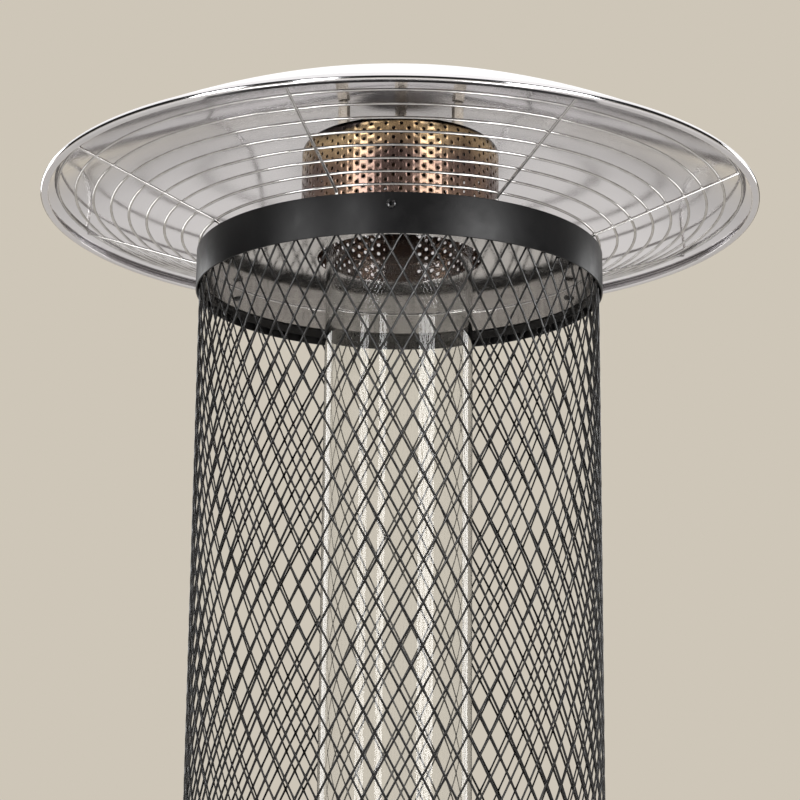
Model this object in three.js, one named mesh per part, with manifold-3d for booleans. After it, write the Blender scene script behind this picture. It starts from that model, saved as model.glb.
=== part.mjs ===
// Outdoor gas heater: a round cabinet for a gas bottle, a glass flame tube inside an
// expanded-metal cage, a perforated emitter on top of it and a wide mirror reflector.
// Millimetres, +Z up, the front of the heater faces -Y, the origin is on the floor under the axis.
// Azimuths are degrees round the axis from the front, positive towards +X.
import * as THREE from "three";
import { mergeVertices } from "three/addons/utils/BufferGeometryUtils.js";
import Module from "manifold-3d";

const wasm = await Module();
wasm.setup();

// ---- Driving dimensions -------------------------------------------------------------------
const GAP = 0.3; // air between two pieces that rest on each other
const SHEET = 1.2; // steel sheet of the cabinet and the bands
const PLATE = 1; // steel of the cage's two plates
const ROUND = 32; // facets round the large shells

const BASE_R = 188; // base pan
const BASE_TOP = 36;
const FOOT_AZIMUTHS = [-45, 45, 135, 225];
const BOTTLE_RING = { inner: 118, outer: 120, height: 22 };
const SEAT_R = 112; // raised middle of the pan, on which the bottle stands
const SEAT_RISE = 2;
const WHEEL_R = 30; // the wheels clear the floor until the heater is tipped back
const WHEEL_X = 80;
const WHEEL_Y = 211;
const WHEEL_Z = 32;
const CHEEK_X = 15.5; // from a wheel's middle to the inside of its bracket's cheek
const CHEEK_WALL = 2.5;

const CABINET_R = 158; // outside of the cabinet and its door
const CABINET_TOP = 604;
const DOOR_HALF = 52; // half of the door's arc, degrees
const DOOR_Z = [64, 528];
const DOORWAY_HALF = DOOR_HALF + 1.1;
const DOORWAY_Z = [60.5, 531.5];
const HINGE_R = 163.6; // the hinge axis stands outside the cabinet
const HINGE_AZIMUTH = -52.5;
const HINGE_Z = [140, 440]; // where a door eye rests on its bracket
const EYE_H = 13;
const KNUCKLE_R = 5;
const PIN_R = 2.5;

const PANEL_Y = -178; // front of the control panel
const PANEL_Z = [546, 590];
const CONTROL_Z = 568; // height of the knob and the igniter
const KNOB_X = -24;
const IGNITER_X = 34;

const CAGE_BOTTOM = 620; // underside of the cage, on the cabinet's lid
const CAGE_TOP = 1083; // upper edge of the cage
const BAND_R = 152.5; // outside of the black bands
const BAND_H = 30;
const FLANGE_R = BAND_R - SHEET - GAP; // outside of a plate's turned edge
const FLANGE_H = 17;
const SCREW_AZIMUTHS = [-2.3, 117.7, 237.7];
const SCREW_DROP = 8.9; // from a plate's face to the screws through its turned edge
const TUBE_HOLE_R = 62; // hole in the top plate
const MESH_COLUMNS = 12; // diamonds round the cage
const MESH_ROWS = 3; // whole diamonds from band to band
const STRAND = 3.4;

const GLASS_R = 55.2;
const GLASS_WALL = 2.8;
const GLASS_TOP = CAGE_TOP + 12;
const DECK = CAGE_BOTTOM + PLATE; // upper face of the cage's bottom plate
const JET_Z = [556, 570];
const PILOT_R = 47.2; // the pilot group stands between the burner head and the glass

const EMITTER_R = 74.8;
const EMITTER_TOP = CAGE_TOP + 86.6;
const EMITTER_ROUND = 5; // radius of the emitter's upper edge

const REFLECTOR_R = 270;
const REFLECTOR_WALL = 1;
const RIM_Z = CAGE_TOP + 36; // lower edge of the reflector
const LIP_H = 2; // straight part of the turned-down rim
const LIP_BEND = 3;
const DOME_RISE = 75.3; // underside, from the rim's bend to the crown
const DOME_POWER = 1.7;
const CROWN_R = 40; // the dome is flatter inside this radius
const POST_R = 49.5; // circle of the reflector's posts
const POST_AZIMUTHS = [-60, 60, 180];
const POST_HEX_R = 4.6; // corner radius of the posts and their nuts
const STUD_R = 2.5;

const GRILLE_OUTER = { r: 257.5, z: CAGE_TOP + 43.8 };
const GRILLE_INNER = { r: 150.5, z: CAGE_TOP + 6.4 };
const GRILLE_RINGS = 9;
const GRILLE_SPOKES = 8;
const GRILLE_TURN = 27.45; // azimuth of the first spoke right of the front
const RING_WIRE_R = 1;
const SPOKE_WIRE_R = 1.1;

// ---- Shape helpers --------------------------------------------------------------------------
const radians = THREE.MathUtils.degToRad;

function solid(geometry) {
  const bare = geometry.index ? geometry.toNonIndexed() : geometry.clone();
  bare.deleteAttribute("normal");
  bare.deleteAttribute("uv");
  const merged = mergeVertices(bare, 1e-3);
  const vertProperties = merged.attributes.position.array;
  const triVerts = new Uint32Array(merged.index.array);
  return new wasm.Manifold(new wasm.Mesh({ numProp: 3, vertProperties, triVerts }));
}

function geometryOf(manifold) {
  const { vertProperties, triVerts } = manifold.getMesh();
  const geometry = new THREE.BufferGeometry();
  geometry.setAttribute("position", new THREE.BufferAttribute(vertProperties, 3));
  geometry.setIndex(new THREE.BufferAttribute(triVerts, 1));
  geometry.computeVertexNormals();
  return geometry;
}

const join = (...shapes) => geometryOf(shapes.map(solid).reduce((sum, next) => sum.add(next)));

const cut = (shape, ...tools) =>
  geometryOf(tools.map(solid).reduce((left, tool) => left.subtract(tool), solid(shape)));

// Turns an outline of [radius, z] points round the Z axis. The outline runs counter-clockwise
// with the radius to the right; it starts and ends on the axis or closes on itself.
function turned(outline, facets = ROUND) {
  const closed = outline[0][0] === 0 ? outline : [...outline, outline[0]];
  const points = closed.map(([r, z]) => new THREE.Vector2(r, z));
  return new THREE.LatheGeometry(points, facets).rotateX(Math.PI / 2);
}

const hoop = (inner, outer, low, high, facets = ROUND) =>
  turned([[inner, low], [outer, low], [outer, high], [inner, high]], facets);

// Points of an arc about [r, z]; angles in degrees from the outward direction.
function arc([r, z], radius, from, to, steps) {
  return Array.from({ length: steps + 1 }, (_, i) => {
    const angle = radians(from + ((to - from) * i) / steps);
    return [r + radius * Math.cos(angle), z + radius * Math.sin(angle)];
  });
}

function block([x0, x1], [y0, y1], [z0, z1]) {
  const shape = new THREE.BoxGeometry(x1 - x0, y1 - y0, z1 - z0);
  return shape.translate((x0 + x1) / 2, (y0 + y1) / 2, (z0 + z1) / 2);
}

const rodX = (r, [x0, x1], y, z, sides = 12) =>
  new THREE.CylinderGeometry(r, r, x1 - x0, sides).rotateZ(Math.PI / 2).translate((x0 + x1) / 2, y, z);

const rodY = (r, [y0, y1], x, z, sides = 12) =>
  new THREE.CylinderGeometry(r, r, y1 - y0, sides).translate(x, (y0 + y1) / 2, z);

const rodZ = (r, [z0, z1], x = 0, y = 0, sides = 12) =>
  new THREE.CylinderGeometry(r, r, z1 - z0, sides).rotateX(Math.PI / 2).translate(x, y, (z0 + z1) / 2);

function rodBetween(from, to, r, sides) {
  const [start, end] = [new THREE.Vector3(...from), new THREE.Vector3(...to)];
  const rod = new THREE.CylinderGeometry(r, r, start.distanceTo(end), sides).rotateX(Math.PI / 2);
  const middle = start.clone().lerp(end, 0.5);
  return rod.lookAt(end.sub(start)).translate(middle.x, middle.y, middle.z);
}

// Turns a shape made at the front round the axis to an azimuth.
const turnedTo = (azimuth, shape) => shape.rotateZ(radians(azimuth));

// A curved plate: part of a ring between two azimuths.
function sector([inner, outer], [from, to], [low, high], steps) {
  const at = (radius, i) => {
    const angle = radians(from + ((to - from) * i) / steps);
    return new THREE.Vector2(radius * Math.sin(angle), -radius * Math.cos(angle));
  };
  const outside = Array.from({ length: steps + 1 }, (_, i) => at(outer, i));
  const inside = Array.from({ length: steps + 1 }, (_, i) => at(inner, steps - i));
  const shape = new THREE.Shape([...outside, ...inside]);
  return new THREE.ExtrudeGeometry(shape, { depth: high - low, bevelEnabled: false }).translate(0, 0, low);
}

// A round bar along a smooth path.
function pipe(points, radius, steps, sides = 8) {
  const ring = Array.from({ length: sides }, (_, i) => {
    const angle = (2 * Math.PI * i) / sides;
    return new THREE.Vector2(radius * Math.cos(angle), radius * Math.sin(angle));
  });
  const extrudePath = new THREE.CatmullRomCurve3(points.map((p) => new THREE.Vector3(...p)));
  return new THREE.ExtrudeGeometry(new THREE.Shape(ring), { steps, extrudePath, bevelEnabled: false });
}

// ---- Materials ------------------------------------------------------------------------------
const finish = (color, roughness, metalness, more = {}) =>
  new THREE.MeshStandardMaterial({ color, roughness, metalness, ...more });

const MIRROR = finish(0xc9c6c2, 0.12, 1);
const STEEL = finish(0xb4b2ae, 0.3, 1);
const TINTED = finish(0x6f5845, 0.35, 1);
const BLACK = finish(0x1b1b1d, 0.6, 0.4);
const GLASS = finish(0xf2f6f6, 0.05, 0, { transparent: true, opacity: 0.3 });
const BRASS = finish(0xb08d4a, 0.35, 1);
const RUBBER = finish(0x151515, 0.9, 0);
const PLASTIC = finish(0x202022, 0.45, 0);
const CERAMIC = finish(0xe8e4da, 0.6, 0);

const heater = new THREE.Group();

function piece(name, shape, material) {
  const mesh = new THREE.Mesh(shape, material);
  mesh.name = name;
  heater.add(mesh);
}

// ---- Base: pan, feet, bottle ring and wheels ------------------------------------------------
const PAN_WALL = 1.5;
const PAN_SKIRT = 12; // height of the pan's lower edge above the floor
const PAN_BEND = 6;

function basePan() {
  const bend = [BASE_R - PAN_BEND, BASE_TOP - PAN_BEND];
  const under = BASE_TOP - PAN_WALL;
  return turned([
    [0, under + SEAT_RISE],
    [SEAT_R - SEAT_RISE, under + SEAT_RISE],
    [SEAT_R, under],
    ...arc(bend, PAN_BEND - PAN_WALL, 90, 0, 2),
    [BASE_R - PAN_WALL, PAN_SKIRT],
    [BASE_R, PAN_SKIRT],
    ...arc(bend, PAN_BEND, 0, 90, 2),
    [SEAT_R + SEAT_RISE, BASE_TOP],
    [SEAT_R, BASE_TOP + SEAT_RISE],
    [0, BASE_TOP + SEAT_RISE],
  ]);
}

function foot(azimuth) {
  const top = BASE_TOP - PAN_WALL - GAP;
  return turnedTo(azimuth, turned([[0, 0], [15, 0], [17, 2], [19, top], [0, top]], 16).translate(0, -156, 0));
}

function wheelBracket(side) {
  const seat = BASE_TOP + GAP;
  const outline = [[148, seat], [187.5, seat], [189.5, 22], [222, 22], [222, 44], [206, 56], [148, 42]];
  const shape = new THREE.Shape(outline.map(([y, z]) => new THREE.Vector2(y, z)));
  const cheek = () =>
    new THREE.ExtrudeGeometry(shape, { depth: CHEEK_WALL, bevelEnabled: false })
      .rotateX(Math.PI / 2)
      .rotateZ(Math.PI / 2);
  const middle = side * WHEEL_X;
  const inner = cheek().translate(middle - CHEEK_X - CHEEK_WALL, 0, 0);
  const outer = cheek().translate(middle + CHEEK_X, 0, 0);
  const reach = CHEEK_X + 1;
  const bridge = block([middle - reach, middle + reach], [148, 172], [seat, seat + CHEEK_WALL]);
  const hole = rodX(4.4, [middle - 30, middle + 30], WHEEL_Y, WHEEL_Z);
  return cut(join(inner, bridge, outer), hole);
}

function wheel(side) {
  const outline = [
    [4.4, -13], [10, -13], [12, -8], [19, -8], [21, -12], [26, -12], [WHEEL_R, -7],
    [WHEEL_R, 7], [26, 12], [21, 12], [19, 8], [12, 8], [10, 13], [4.4, 13],
  ];
  return turned(outline, 18).rotateY(Math.PI / 2).translate(side * WHEEL_X, WHEEL_Y, WHEEL_Z);
}

function wheelAxle(side) {
  const middle = side * WHEEL_X;
  const face = CHEEK_X + CHEEK_WALL + GAP;
  const shank = rodX(4, [middle - face - 6, middle + face + 1], WHEEL_Y, WHEEL_Z);
  const head = rodX(7.5, [middle + face, middle + face + 4], WHEEL_Y, WHEEL_Z);
  const nut = rodX(7, [middle - face - 5, middle - face], WHEEL_Y, WHEEL_Z, 6);
  return join(shank, head, nut);
}

piece("base_pan", basePan(), BLACK);
FOOT_AZIMUTHS.forEach((azimuth, i) => piece(`foot_${i + 1}`, foot(azimuth), RUBBER));
const { inner, outer, height } = BOTTLE_RING;
piece("bottle_ring", hoop(inner, outer, BASE_TOP + GAP, BASE_TOP + height, 24), BLACK);
for (const [word, side] of [["left", -1], ["right", 1]]) {
  piece(`wheel_bracket_${word}`, wheelBracket(side), BLACK);
  piece(`wheel_${word}`, wheel(side), RUBBER);
  piece(`wheel_axle_${word}`, wheelAxle(side), STEEL);
}

// ---- Cabinet: shell, door, hinges, pull, magnet and lid -------------------------------------
const VENT_AZIMUTHS = [156, 168, 180, 192, 204];
const VENT_ROWS = [[76, 136], [500, 560]];
const LEAF_IN = CABINET_R + GAP + 0.2; // inner face of a hinge leaf on the cabinet
const LEAF_OUT = CABINET_R + 2.5;

function cabinetShell() {
  const shell = hoop(CABINET_R - SHEET, CABINET_R, BASE_TOP + GAP, CABINET_TOP);
  const doorway = sector([140, CABINET_R + 6], [-DOORWAY_HALF, DOORWAY_HALF], DOORWAY_Z, 16);
  const window = block([-50, 50], [-CABINET_R - 6, -140], [552, 600]);
  const vents = VENT_ROWS.flatMap((row) =>
    VENT_AZIMUTHS.map((azimuth) => turnedTo(azimuth, block([-4, 4], [-CABINET_R - 5, -140], row))),
  );
  return cut(shell, doorway, window, ...vents);
}

const hingeAt = (shape) => turnedTo(HINGE_AZIMUTH, shape.translate(0, -HINGE_R, 0));

function doorPanel() {
  const panel = sector([CABINET_R - SHEET, CABINET_R], [-DOOR_HALF, DOOR_HALF], DOOR_Z, 12);
  const hinges = HINGE_Z.flatMap((z) => {
    const span = [z + GAP, z + EYE_H];
    const leaf = sector([CABINET_R - 0.6, CABINET_R + 2.4], [-51.5, -43], span, 2);
    const strap = turnedTo(HINGE_AZIMUTH, block([1, 8], [-CABINET_R - 2.6, -CABINET_R - 0.6], span));
    return [leaf, strap, hingeAt(rodZ(KNUCKLE_R, span))];
  });
  const bores = HINGE_Z.map((z) => hingeAt(rodZ(PIN_R + 0.5, [z - 1, z + EYE_H + 1])));
  return cut(join(panel, ...hinges), ...bores);
}

function hingeBracket(z) {
  const span = [z - EYE_H, z];
  const leaf = sector([LEAF_IN, LEAF_OUT], [-64, HINGE_AZIMUTH - 0.6], span, 3);
  const bore = hingeAt(rodZ(PIN_R + 0.3, [z - EYE_H - 1, z + 1]));
  return cut(join(leaf, hingeAt(rodZ(KNUCKLE_R, span))), bore);
}

function hingePin(z) {
  const top = z + EYE_H + GAP;
  return hingeAt(join(rodZ(PIN_R, [z - EYE_H - 2, top + 1]), rodZ(PIN_R + 1.7, [top, top + 2.7])));
}

function doorPull() {
  const reach = CABINET_R + 27;
  const bar = rodZ(5, [262, 398], 0, -reach);
  const arms = [274, 386].map((z) => rodY(4, [-reach, -CABINET_R - GAP], 0, z, 10));
  return turnedTo(41, join(bar, ...arms));
}

const doorMagnet = () => turnedTo(DOOR_HALF + 1, block([-13, 13], [-154.8, -144], [312, 342]));

function cabinetLid() {
  const top = CAGE_BOTTOM - GAP;
  const lip = CABINET_TOP - 12;
  const inside = CABINET_R + 0.5;
  return turned([
    [100, top - SHEET], [inside, top - SHEET], [inside, lip],
    [inside + SHEET, lip], [inside + SHEET, top], [100, top],
  ]);
}

piece("cabinet_shell", cabinetShell(), BLACK);
piece("door", doorPanel(), BLACK);
["lower", "upper"].forEach((word, i) => {
  piece(`hinge_bracket_${word}`, hingeBracket(HINGE_Z[i]), BLACK);
  piece(`hinge_pin_${word}`, hingePin(HINGE_Z[i]), STEEL);
});
piece("door_pull", doorPull(), STEEL);
piece("door_magnet", doorMagnet(), PLASTIC);
piece("cabinet_lid", cabinetLid(), BLACK);

// ---- Controls: panel, gas valve, knob, igniter, tilt switch ---------------------------------
const VALVE_Y = [-150, -108]; // front and back of the valve's body
const VALVE_HALF = 15; // half of its height
const VALVE_SIDE = KNOB_X - 20; // its left side

function controlPanel() {
  const [low, high] = PANEL_Z;
  const half = 64;
  const wall = 2;
  const shell = block([-half, half], [PANEL_Y, -130], [low, high]);
  const hollow = block([wall - half, half - wall], [PANEL_Y + wall, -120], [low + wall, high - wall]);
  const bevel = (x) => block([-5, 5], [-5, 5], [low - 1, high + 1]).rotateZ(Math.PI / 4).translate(x, PANEL_Y, 0);
  const cabinet = rodZ(CABINET_R + GAP + 0.3, [low - 5, high + 5], 0, 0, ROUND);
  const stemHole = rodY(7, [PANEL_Y - 5, PANEL_Y + 5], KNOB_X, CONTROL_Z, 16);
  const buttonHole = rodY(9.8, [PANEL_Y - 5, PANEL_Y + 5], IGNITER_X, CONTROL_Z, 16);
  return cut(shell, hollow, cabinet, bevel(-half), bevel(half), stemHole, buttonHole);
}

function gasValve() {
  const span = [CONTROL_Z - VALVE_HALF, CONTROL_Z + VALVE_HALF];
  const body = block([VALVE_SIDE, KNOB_X + 20], VALVE_Y, span);
  const nose = rodY(10.5, [-170, -149], KNOB_X, CONTROL_Z, 16);
  const bore = rodY(8.6, [-171, -150], KNOB_X, CONTROL_Z, 16);
  const outlet = rodY(9, [-109, -101], KNOB_X, CONTROL_Z, 6);
  return cut(join(body, nose, outlet), bore);
}

const stemCollar = () =>
  cut(rodY(7.9, [-162, -157], KNOB_X, CONTROL_Z, 16), rodY(3.5, [-163, -156], KNOB_X, CONTROL_Z));

const valveStem = () =>
  join(rodY(3, [-190, -155], KNOB_X, CONTROL_Z), rodY(6, [-164, -162 - GAP], KNOB_X, CONTROL_Z));

function controlKnob() {
  const skirt = rodY(22, [-189, PANEL_Y - 5.5], KNOB_X, CONTROL_Z, 24);
  const hub = rodY(17, [-196, -188], KNOB_X, CONTROL_Z, 24);
  const grip = block([KNOB_X - 4.5, KNOB_X + 4.5], [-208, -195], [CONTROL_Z - 16, CONTROL_Z + 16]);
  const bore = rodY(3.3, [-190.5, -180], KNOB_X, CONTROL_Z);
  return cut(join(skirt, hub, grip), bore);
}

function igniterBody() {
  const barrel = rodY(11.5, [PANEL_Y + 2 + GAP, -132], IGNITER_X, CONTROL_Z, 16);
  return cut(barrel, rodY(9.6, [-180, -165], IGNITER_X, CONTROL_Z, 16));
}

const igniterButton = () => join(
  rodY(8.8, [PANEL_Y - 6, -170], IGNITER_X, CONTROL_Z, 16),
  rodY(7.4, [PANEL_Y - 7.2, PANEL_Y - 5.9], IGNITER_X, CONTROL_Z, 16),
);

function gasInlet() {
  const top = CONTROL_Z - VALVE_HALF - GAP;
  const barbs = [27, 19].flatMap((drop) => [[4, top - drop - 1], [5.6, top - drop + 5], [4, top - drop + 5.6]]);
  const outline = [[2.5, top - 32], [4, top - 32], ...barbs, [4, top - 8], [8, top - 8], [8, top], [2.5, top]];
  return turned(outline, 10).translate(KNOB_X, -128, 0);
}

const tiltSwitch = () => join(
  rodZ(9, [CONTROL_Z - 14, CONTROL_Z + 12], -62, -114),
  block([-55, VALVE_SIDE - GAP], [-116, -112], [CONTROL_Z - 4, CONTROL_Z + 4]),
);

piece("control_panel", controlPanel(), BLACK);
piece("gas_valve", gasValve(), STEEL);
piece("stem_collar", stemCollar(), STEEL);
piece("valve_stem", valveStem(), STEEL);
piece("control_knob", controlKnob(), PLASTIC);
piece("igniter_body", igniterBody(), PLASTIC);
piece("igniter_button", igniterButton(), PLASTIC);
piece("gas_inlet", gasInlet(), BRASS);
piece("tilt_switch", tiltSwitch(), PLASTIC);

// ---- Burner: pipe, jet, mixing tube, head and pilot group -----------------------------------
const HEAD_LOW = DECK + 5 + GAP;
const HEAD_TOP = HEAD_LOW + 26;
const HEAD_R = 44;
const MIXER_COLLAR = DECK + 5;
const PROBE_X = 9; // the electrode and the thermocouple stand each side of the pilot
const PROBE_Y = -PILOT_R + 1;
const PROBE_LOW = 586;
const VALVE_BACK = VALVE_Y[1] + GAP;

function burnerPipe() {
  const points = [
    [KNOB_X, -101 + 2 * GAP, CONTROL_Z], [KNOB_X, -92, CONTROL_Z], [-17, -62, 553], [-5, -26, 543],
    [0, -8, 541], [0, 0, 548], [0, 0, JET_Z[0] - 2 * GAP],
  ];
  return pipe(points, 4, 16);
}

const gasJet = () => join(rodZ(7, JET_Z, 0, 0, 6), rodZ(3, [JET_Z[1] - 1, JET_Z[1] + 5]));

const mixingTube = () => turned([
  [12, 578], [17.6, 565], [19, 566], [13.4, 580], [13.4, DECK + GAP],
  [20, DECK + GAP], [20, MIXER_COLLAR], [12, MIXER_COLLAR],
], 20);

const burnerHead = () => turned([
  [0, HEAD_TOP - SHEET], [HEAD_R - 3.7, HEAD_TOP - SHEET], [HEAD_R - SHEET, HEAD_TOP - 4],
  [HEAD_R - SHEET, HEAD_LOW + SHEET], [14, HEAD_LOW + SHEET], [14, HEAD_LOW], [HEAD_R, HEAD_LOW],
  [HEAD_R, HEAD_TOP - 3.5], [HEAD_R - 3, HEAD_TOP], [0, HEAD_TOP],
], 28);

function pilotBurner() {
  const seat = CAGE_BOTTOM - GAP;
  const bracket = block([-15, 15], [-PILOT_R - 6, -PILOT_R + 6], [seat - 1.5, seat]);
  const tube = rodZ(2, [PROBE_LOW, DECK + 36], 0, -PILOT_R, 8);
  const supply = pipe([
    [0, -PILOT_R, PROBE_LOW + 1], [0, -PILOT_R - 3, 578], [-4, -70, 578], [-9, -90, 580], [-10, VALVE_BACK, 578],
  ], 1.8, 12, 6);
  const holes = [-PROBE_X, PROBE_X].map((x) => rodZ(2.2, [seat - 5, seat + 5], x, PROBE_Y, 8));
  return cut(join(bracket, tube, supply), ...holes);
}

function thermocouple() {
  const probe = rodZ(1.6, [PROBE_LOW, DECK + 30], -PROBE_X, PROBE_Y, 8);
  const lead = pipe([
    [-PROBE_X, PROBE_Y, PROBE_LOW + 1], [-12, -50, 579], [-26, -72, 580], [-36, -92, 580], [-38, VALVE_BACK, 578],
  ], 1.4, 12, 6);
  return join(probe, lead);
}

const sparkElectrode = () => join(
  rodZ(1.6, [PROBE_LOW, DECK + 20], PROBE_X, PROBE_Y, 8),
  rodZ(0.8, [DECK + 19, DECK + 34], PROBE_X, PROBE_Y, 6),
);

const sparkLead = () => pipe([
  [PROBE_X, PROBE_Y, PROBE_LOW - 2 * GAP], [PROBE_X, PROBE_Y, 581], [15, -58, 573], [30, -90, 568],
  [IGNITER_X, -120, CONTROL_Z], [IGNITER_X, -132 + 2 * GAP, CONTROL_Z],
], 1.6, 16, 6);

piece("burner_pipe", burnerPipe(), STEEL);
piece("gas_jet", gasJet(), BRASS);
piece("mixing_tube", mixingTube(), STEEL);
piece("burner_head", burnerHead(), STEEL);
piece("pilot_burner", pilotBurner(), BRASS);
piece("thermocouple", thermocouple(), STEEL);
piece("spark_electrode", sparkElectrode(), CERAMIC);
piece("spark_lead", sparkLead(), PLASTIC);

// ---- Cage: plates, bands, mesh, screws and the glass tube -----------------------------------
// Clearance holes for the three screws at one height, through a ring near the bands' radius.
const screwHoles = (z) =>
  SCREW_AZIMUTHS.map((azimuth) => turnedTo(azimuth, rodY(2.5, [-BAND_R - 4, -BAND_R + 8], 0, z, 8)));

// An annular plate whose outer edge is turned down by FLANGE_H.
function topPlate() {
  const low = CAGE_TOP - FLANGE_H;
  const under = CAGE_TOP - PLATE;
  const plate = turned([
    [TUBE_HOLE_R, under], [FLANGE_R - PLATE, under], [FLANGE_R - PLATE, low],
    [FLANGE_R, low], [FLANGE_R, CAGE_TOP], [TUBE_HOLE_R, CAGE_TOP],
  ]);
  return cut(plate, ...screwHoles(CAGE_TOP - SCREW_DROP));
}

// The lower plate has its edge turned up, and holes for the mixing tube, the air and the pilot.
function bottomPlate() {
  const high = CAGE_BOTTOM + FLANGE_H;
  const through = [CAGE_BOTTOM - 5, CAGE_BOTTOM + 5];
  const plate = turned([
    [14, CAGE_BOTTOM], [FLANGE_R, CAGE_BOTTOM], [FLANGE_R, high],
    [FLANGE_R - PLATE, high], [FLANGE_R - PLATE, DECK], [14, DECK],
  ]);
  const airHoles = [0, 1, 2, 3, 4, 5, 6, 7].map((i) => turnedTo(45 * i + 22.5, rodZ(5, through, 0, -32, 8)));
  const pilotSlot = block([-12, 12], [-PILOT_R - 2.6, -PILOT_R + 4], through);
  return cut(plate, ...airHoles, pilotSlot, ...screwHoles(CAGE_BOTTOM + SCREW_DROP));
}

const band = (low, screwZ) => cut(hoop(BAND_R - SHEET, BAND_R, low, low + BAND_H), ...screwHoles(screwZ));

function bandScrew(azimuth, z) {
  const seat = -BAND_R - GAP;
  const head = new THREE.CylinderGeometry(3.9, 2.6, 2.2, 12).translate(0, seat - 1.1, z);
  return turnedTo(azimuth, join(head, rodY(2, [seat - 0.5, -BAND_R + 7], 0, z, 8)));
}

// A sleeve with staggered diamond openings. Each diamond is two facets wide, and its upper and
// lower corners lie where two facets meet.
function cageMesh() {
  const outside = FLANGE_R - 0.8;
  const [low, high] = [CAGE_BOTTOM + FLANGE_H + 2, CAGE_TOP - FLANGE_H - 2];
  const margin = 12;
  const pitch = (high - low - 2 * margin) / MESH_ROWS;
  const column = 2 * outside * Math.sin(Math.PI / MESH_COLUMNS);
  const steep = Math.hypot(pitch, column);
  const halfWide = (column - (STRAND * steep) / pitch) / 2;
  const halfHigh = (halfWide * pitch) / column;
  const sleeve = hoop(outside - SHEET, outside, low, high, 2 * MESH_COLUMNS);
  const lastRow = 2 * MESH_ROWS;
  // The first and the last row are half diamonds.
  const diamond = (row) => {
    const upper = row < lastRow ? [[0, halfHigh]] : [];
    const lower = row > 0 ? [[0, -halfHigh]] : [];
    const corners = [[halfWide, 0], ...upper, [-halfWide, 0], ...lower];
    const shape = new THREE.Shape(corners.map(([x, z]) => new THREE.Vector2(x, z)));
    return new THREE.ExtrudeGeometry(shape, { depth: 12, bevelEnabled: false }).rotateX(Math.PI / 2);
  };
  const openings = [];
  for (let row = 0; row <= lastRow; row++) {
    const z = low + margin + (row * pitch) / 2;
    for (let half = row % 2; half < 2 * MESH_COLUMNS; half += 2) {
      openings.push(turnedTo((180 * half) / MESH_COLUMNS, diamond(row).translate(0, 6 - outside, z)));
    }
  }
  return cut(sleeve, ...openings);
}

function glassSeat() {
  const low = DECK + GAP;
  const groove = low + 3;
  return turned([
    [50.6, low], [59, low], [59, low + 15], [GLASS_R + GAP + 0.2, low + 15], [GLASS_R + GAP + 0.2, groove],
    [GLASS_R - GLASS_WALL - GAP, groove], [GLASS_R - GLASS_WALL - GAP, low + 9], [50.6, low + 9],
  ], 24);
}

piece("bottom_plate", bottomPlate(), STEEL);
piece("bottom_band", band(CAGE_BOTTOM, CAGE_BOTTOM + SCREW_DROP), BLACK);
piece("cage_mesh", cageMesh(), BLACK);
piece("top_plate", topPlate(), MIRROR);
piece("top_band", band(CAGE_TOP - BAND_H, CAGE_TOP - SCREW_DROP), BLACK);
SCREW_AZIMUTHS.forEach((azimuth, i) => {
  piece(`bottom_screw_${i + 1}`, bandScrew(azimuth, CAGE_BOTTOM + SCREW_DROP), BLACK);
  piece(`top_screw_${i + 1}`, bandScrew(azimuth, CAGE_TOP - SCREW_DROP), BLACK);
});
piece("glass_seat", glassSeat(), STEEL);
piece("glass_tube", hoop(GLASS_R - GLASS_WALL, GLASS_R, DECK + 2 * GAP + 3, GLASS_TOP), GLASS);

// ---- Emitter --------------------------------------------------------------------------------
function emitterCan() {
  const low = CAGE_TOP + GAP;
  const foot = EMITTER_R + 6;
  const bend = [EMITTER_R - EMITTER_ROUND, EMITTER_TOP - EMITTER_ROUND];
  return turned([
    [0, EMITTER_TOP - PLATE],
    ...arc(bend, EMITTER_ROUND - PLATE, 90, 0, 3),
    [EMITTER_R - PLATE, low],
    [foot, low],
    [foot, low + PLATE],
    [EMITTER_R, low + PLATE],
    ...arc(bend, EMITTER_ROUND, 0, 90, 3),
    [0, EMITTER_TOP],
  ]);
}

piece("emitter", emitterCan(), TINTED);

// ---- Reflector: dome, posts and nuts --------------------------------------------------------
const BEND_R = REFLECTOR_R - REFLECTOR_WALL - LIP_BEND; // where the dome meets the rim's bend
const BEND_Z = RIM_Z + LIP_H + LIP_BEND;

const pastCrown = (r) => Math.cbrt(r ** 3 + CROWN_R ** 3) - CROWN_R;
const domeUnder = (r) => BEND_Z + DOME_RISE * (1 - (pastCrown(r) / pastCrown(BEND_R)) ** DOME_POWER);

const STUD_TOP = domeUnder(POST_R) + REFLECTOR_WALL + 5;

const atPosts = (shape) => POST_AZIMUTHS.map((azimuth) => turnedTo(azimuth, shape()));

function reflector() {
  const steps = 10;
  const radii = Array.from({ length: steps }, (_, i) => (BEND_R * (i + 1)) / (steps + 1));
  const centre = [BEND_R, RIM_Z + LIP_H];
  const dome = turned([
    [0, domeUnder(0)],
    ...radii.map((r) => [r, domeUnder(r)]),
    ...arc(centre, LIP_BEND, 90, 0, 2),
    [REFLECTOR_R - REFLECTOR_WALL, RIM_Z],
    [REFLECTOR_R, RIM_Z],
    ...arc(centre, LIP_BEND + REFLECTOR_WALL, 0, 90, 2),
    ...radii.reverse().map((r) => [r, domeUnder(r) + REFLECTOR_WALL]),
    [0, domeUnder(0) + REFLECTOR_WALL],
  ]);
  return cut(dome, ...atPosts(() => rodZ(STUD_R + 0.7, [RIM_Z, RIM_Z + 100], 0, -POST_R)));
}

function reflectorPost(azimuth) {
  const shoulder = domeUnder(POST_R + POST_HEX_R) - 2 * GAP;
  const hex = rodZ(POST_HEX_R, [EMITTER_TOP + GAP, shoulder], 0, -POST_R, 6);
  return turnedTo(azimuth, join(hex, rodZ(STUD_R, [shoulder - 1, STUD_TOP], 0, -POST_R, 10)));
}

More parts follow.
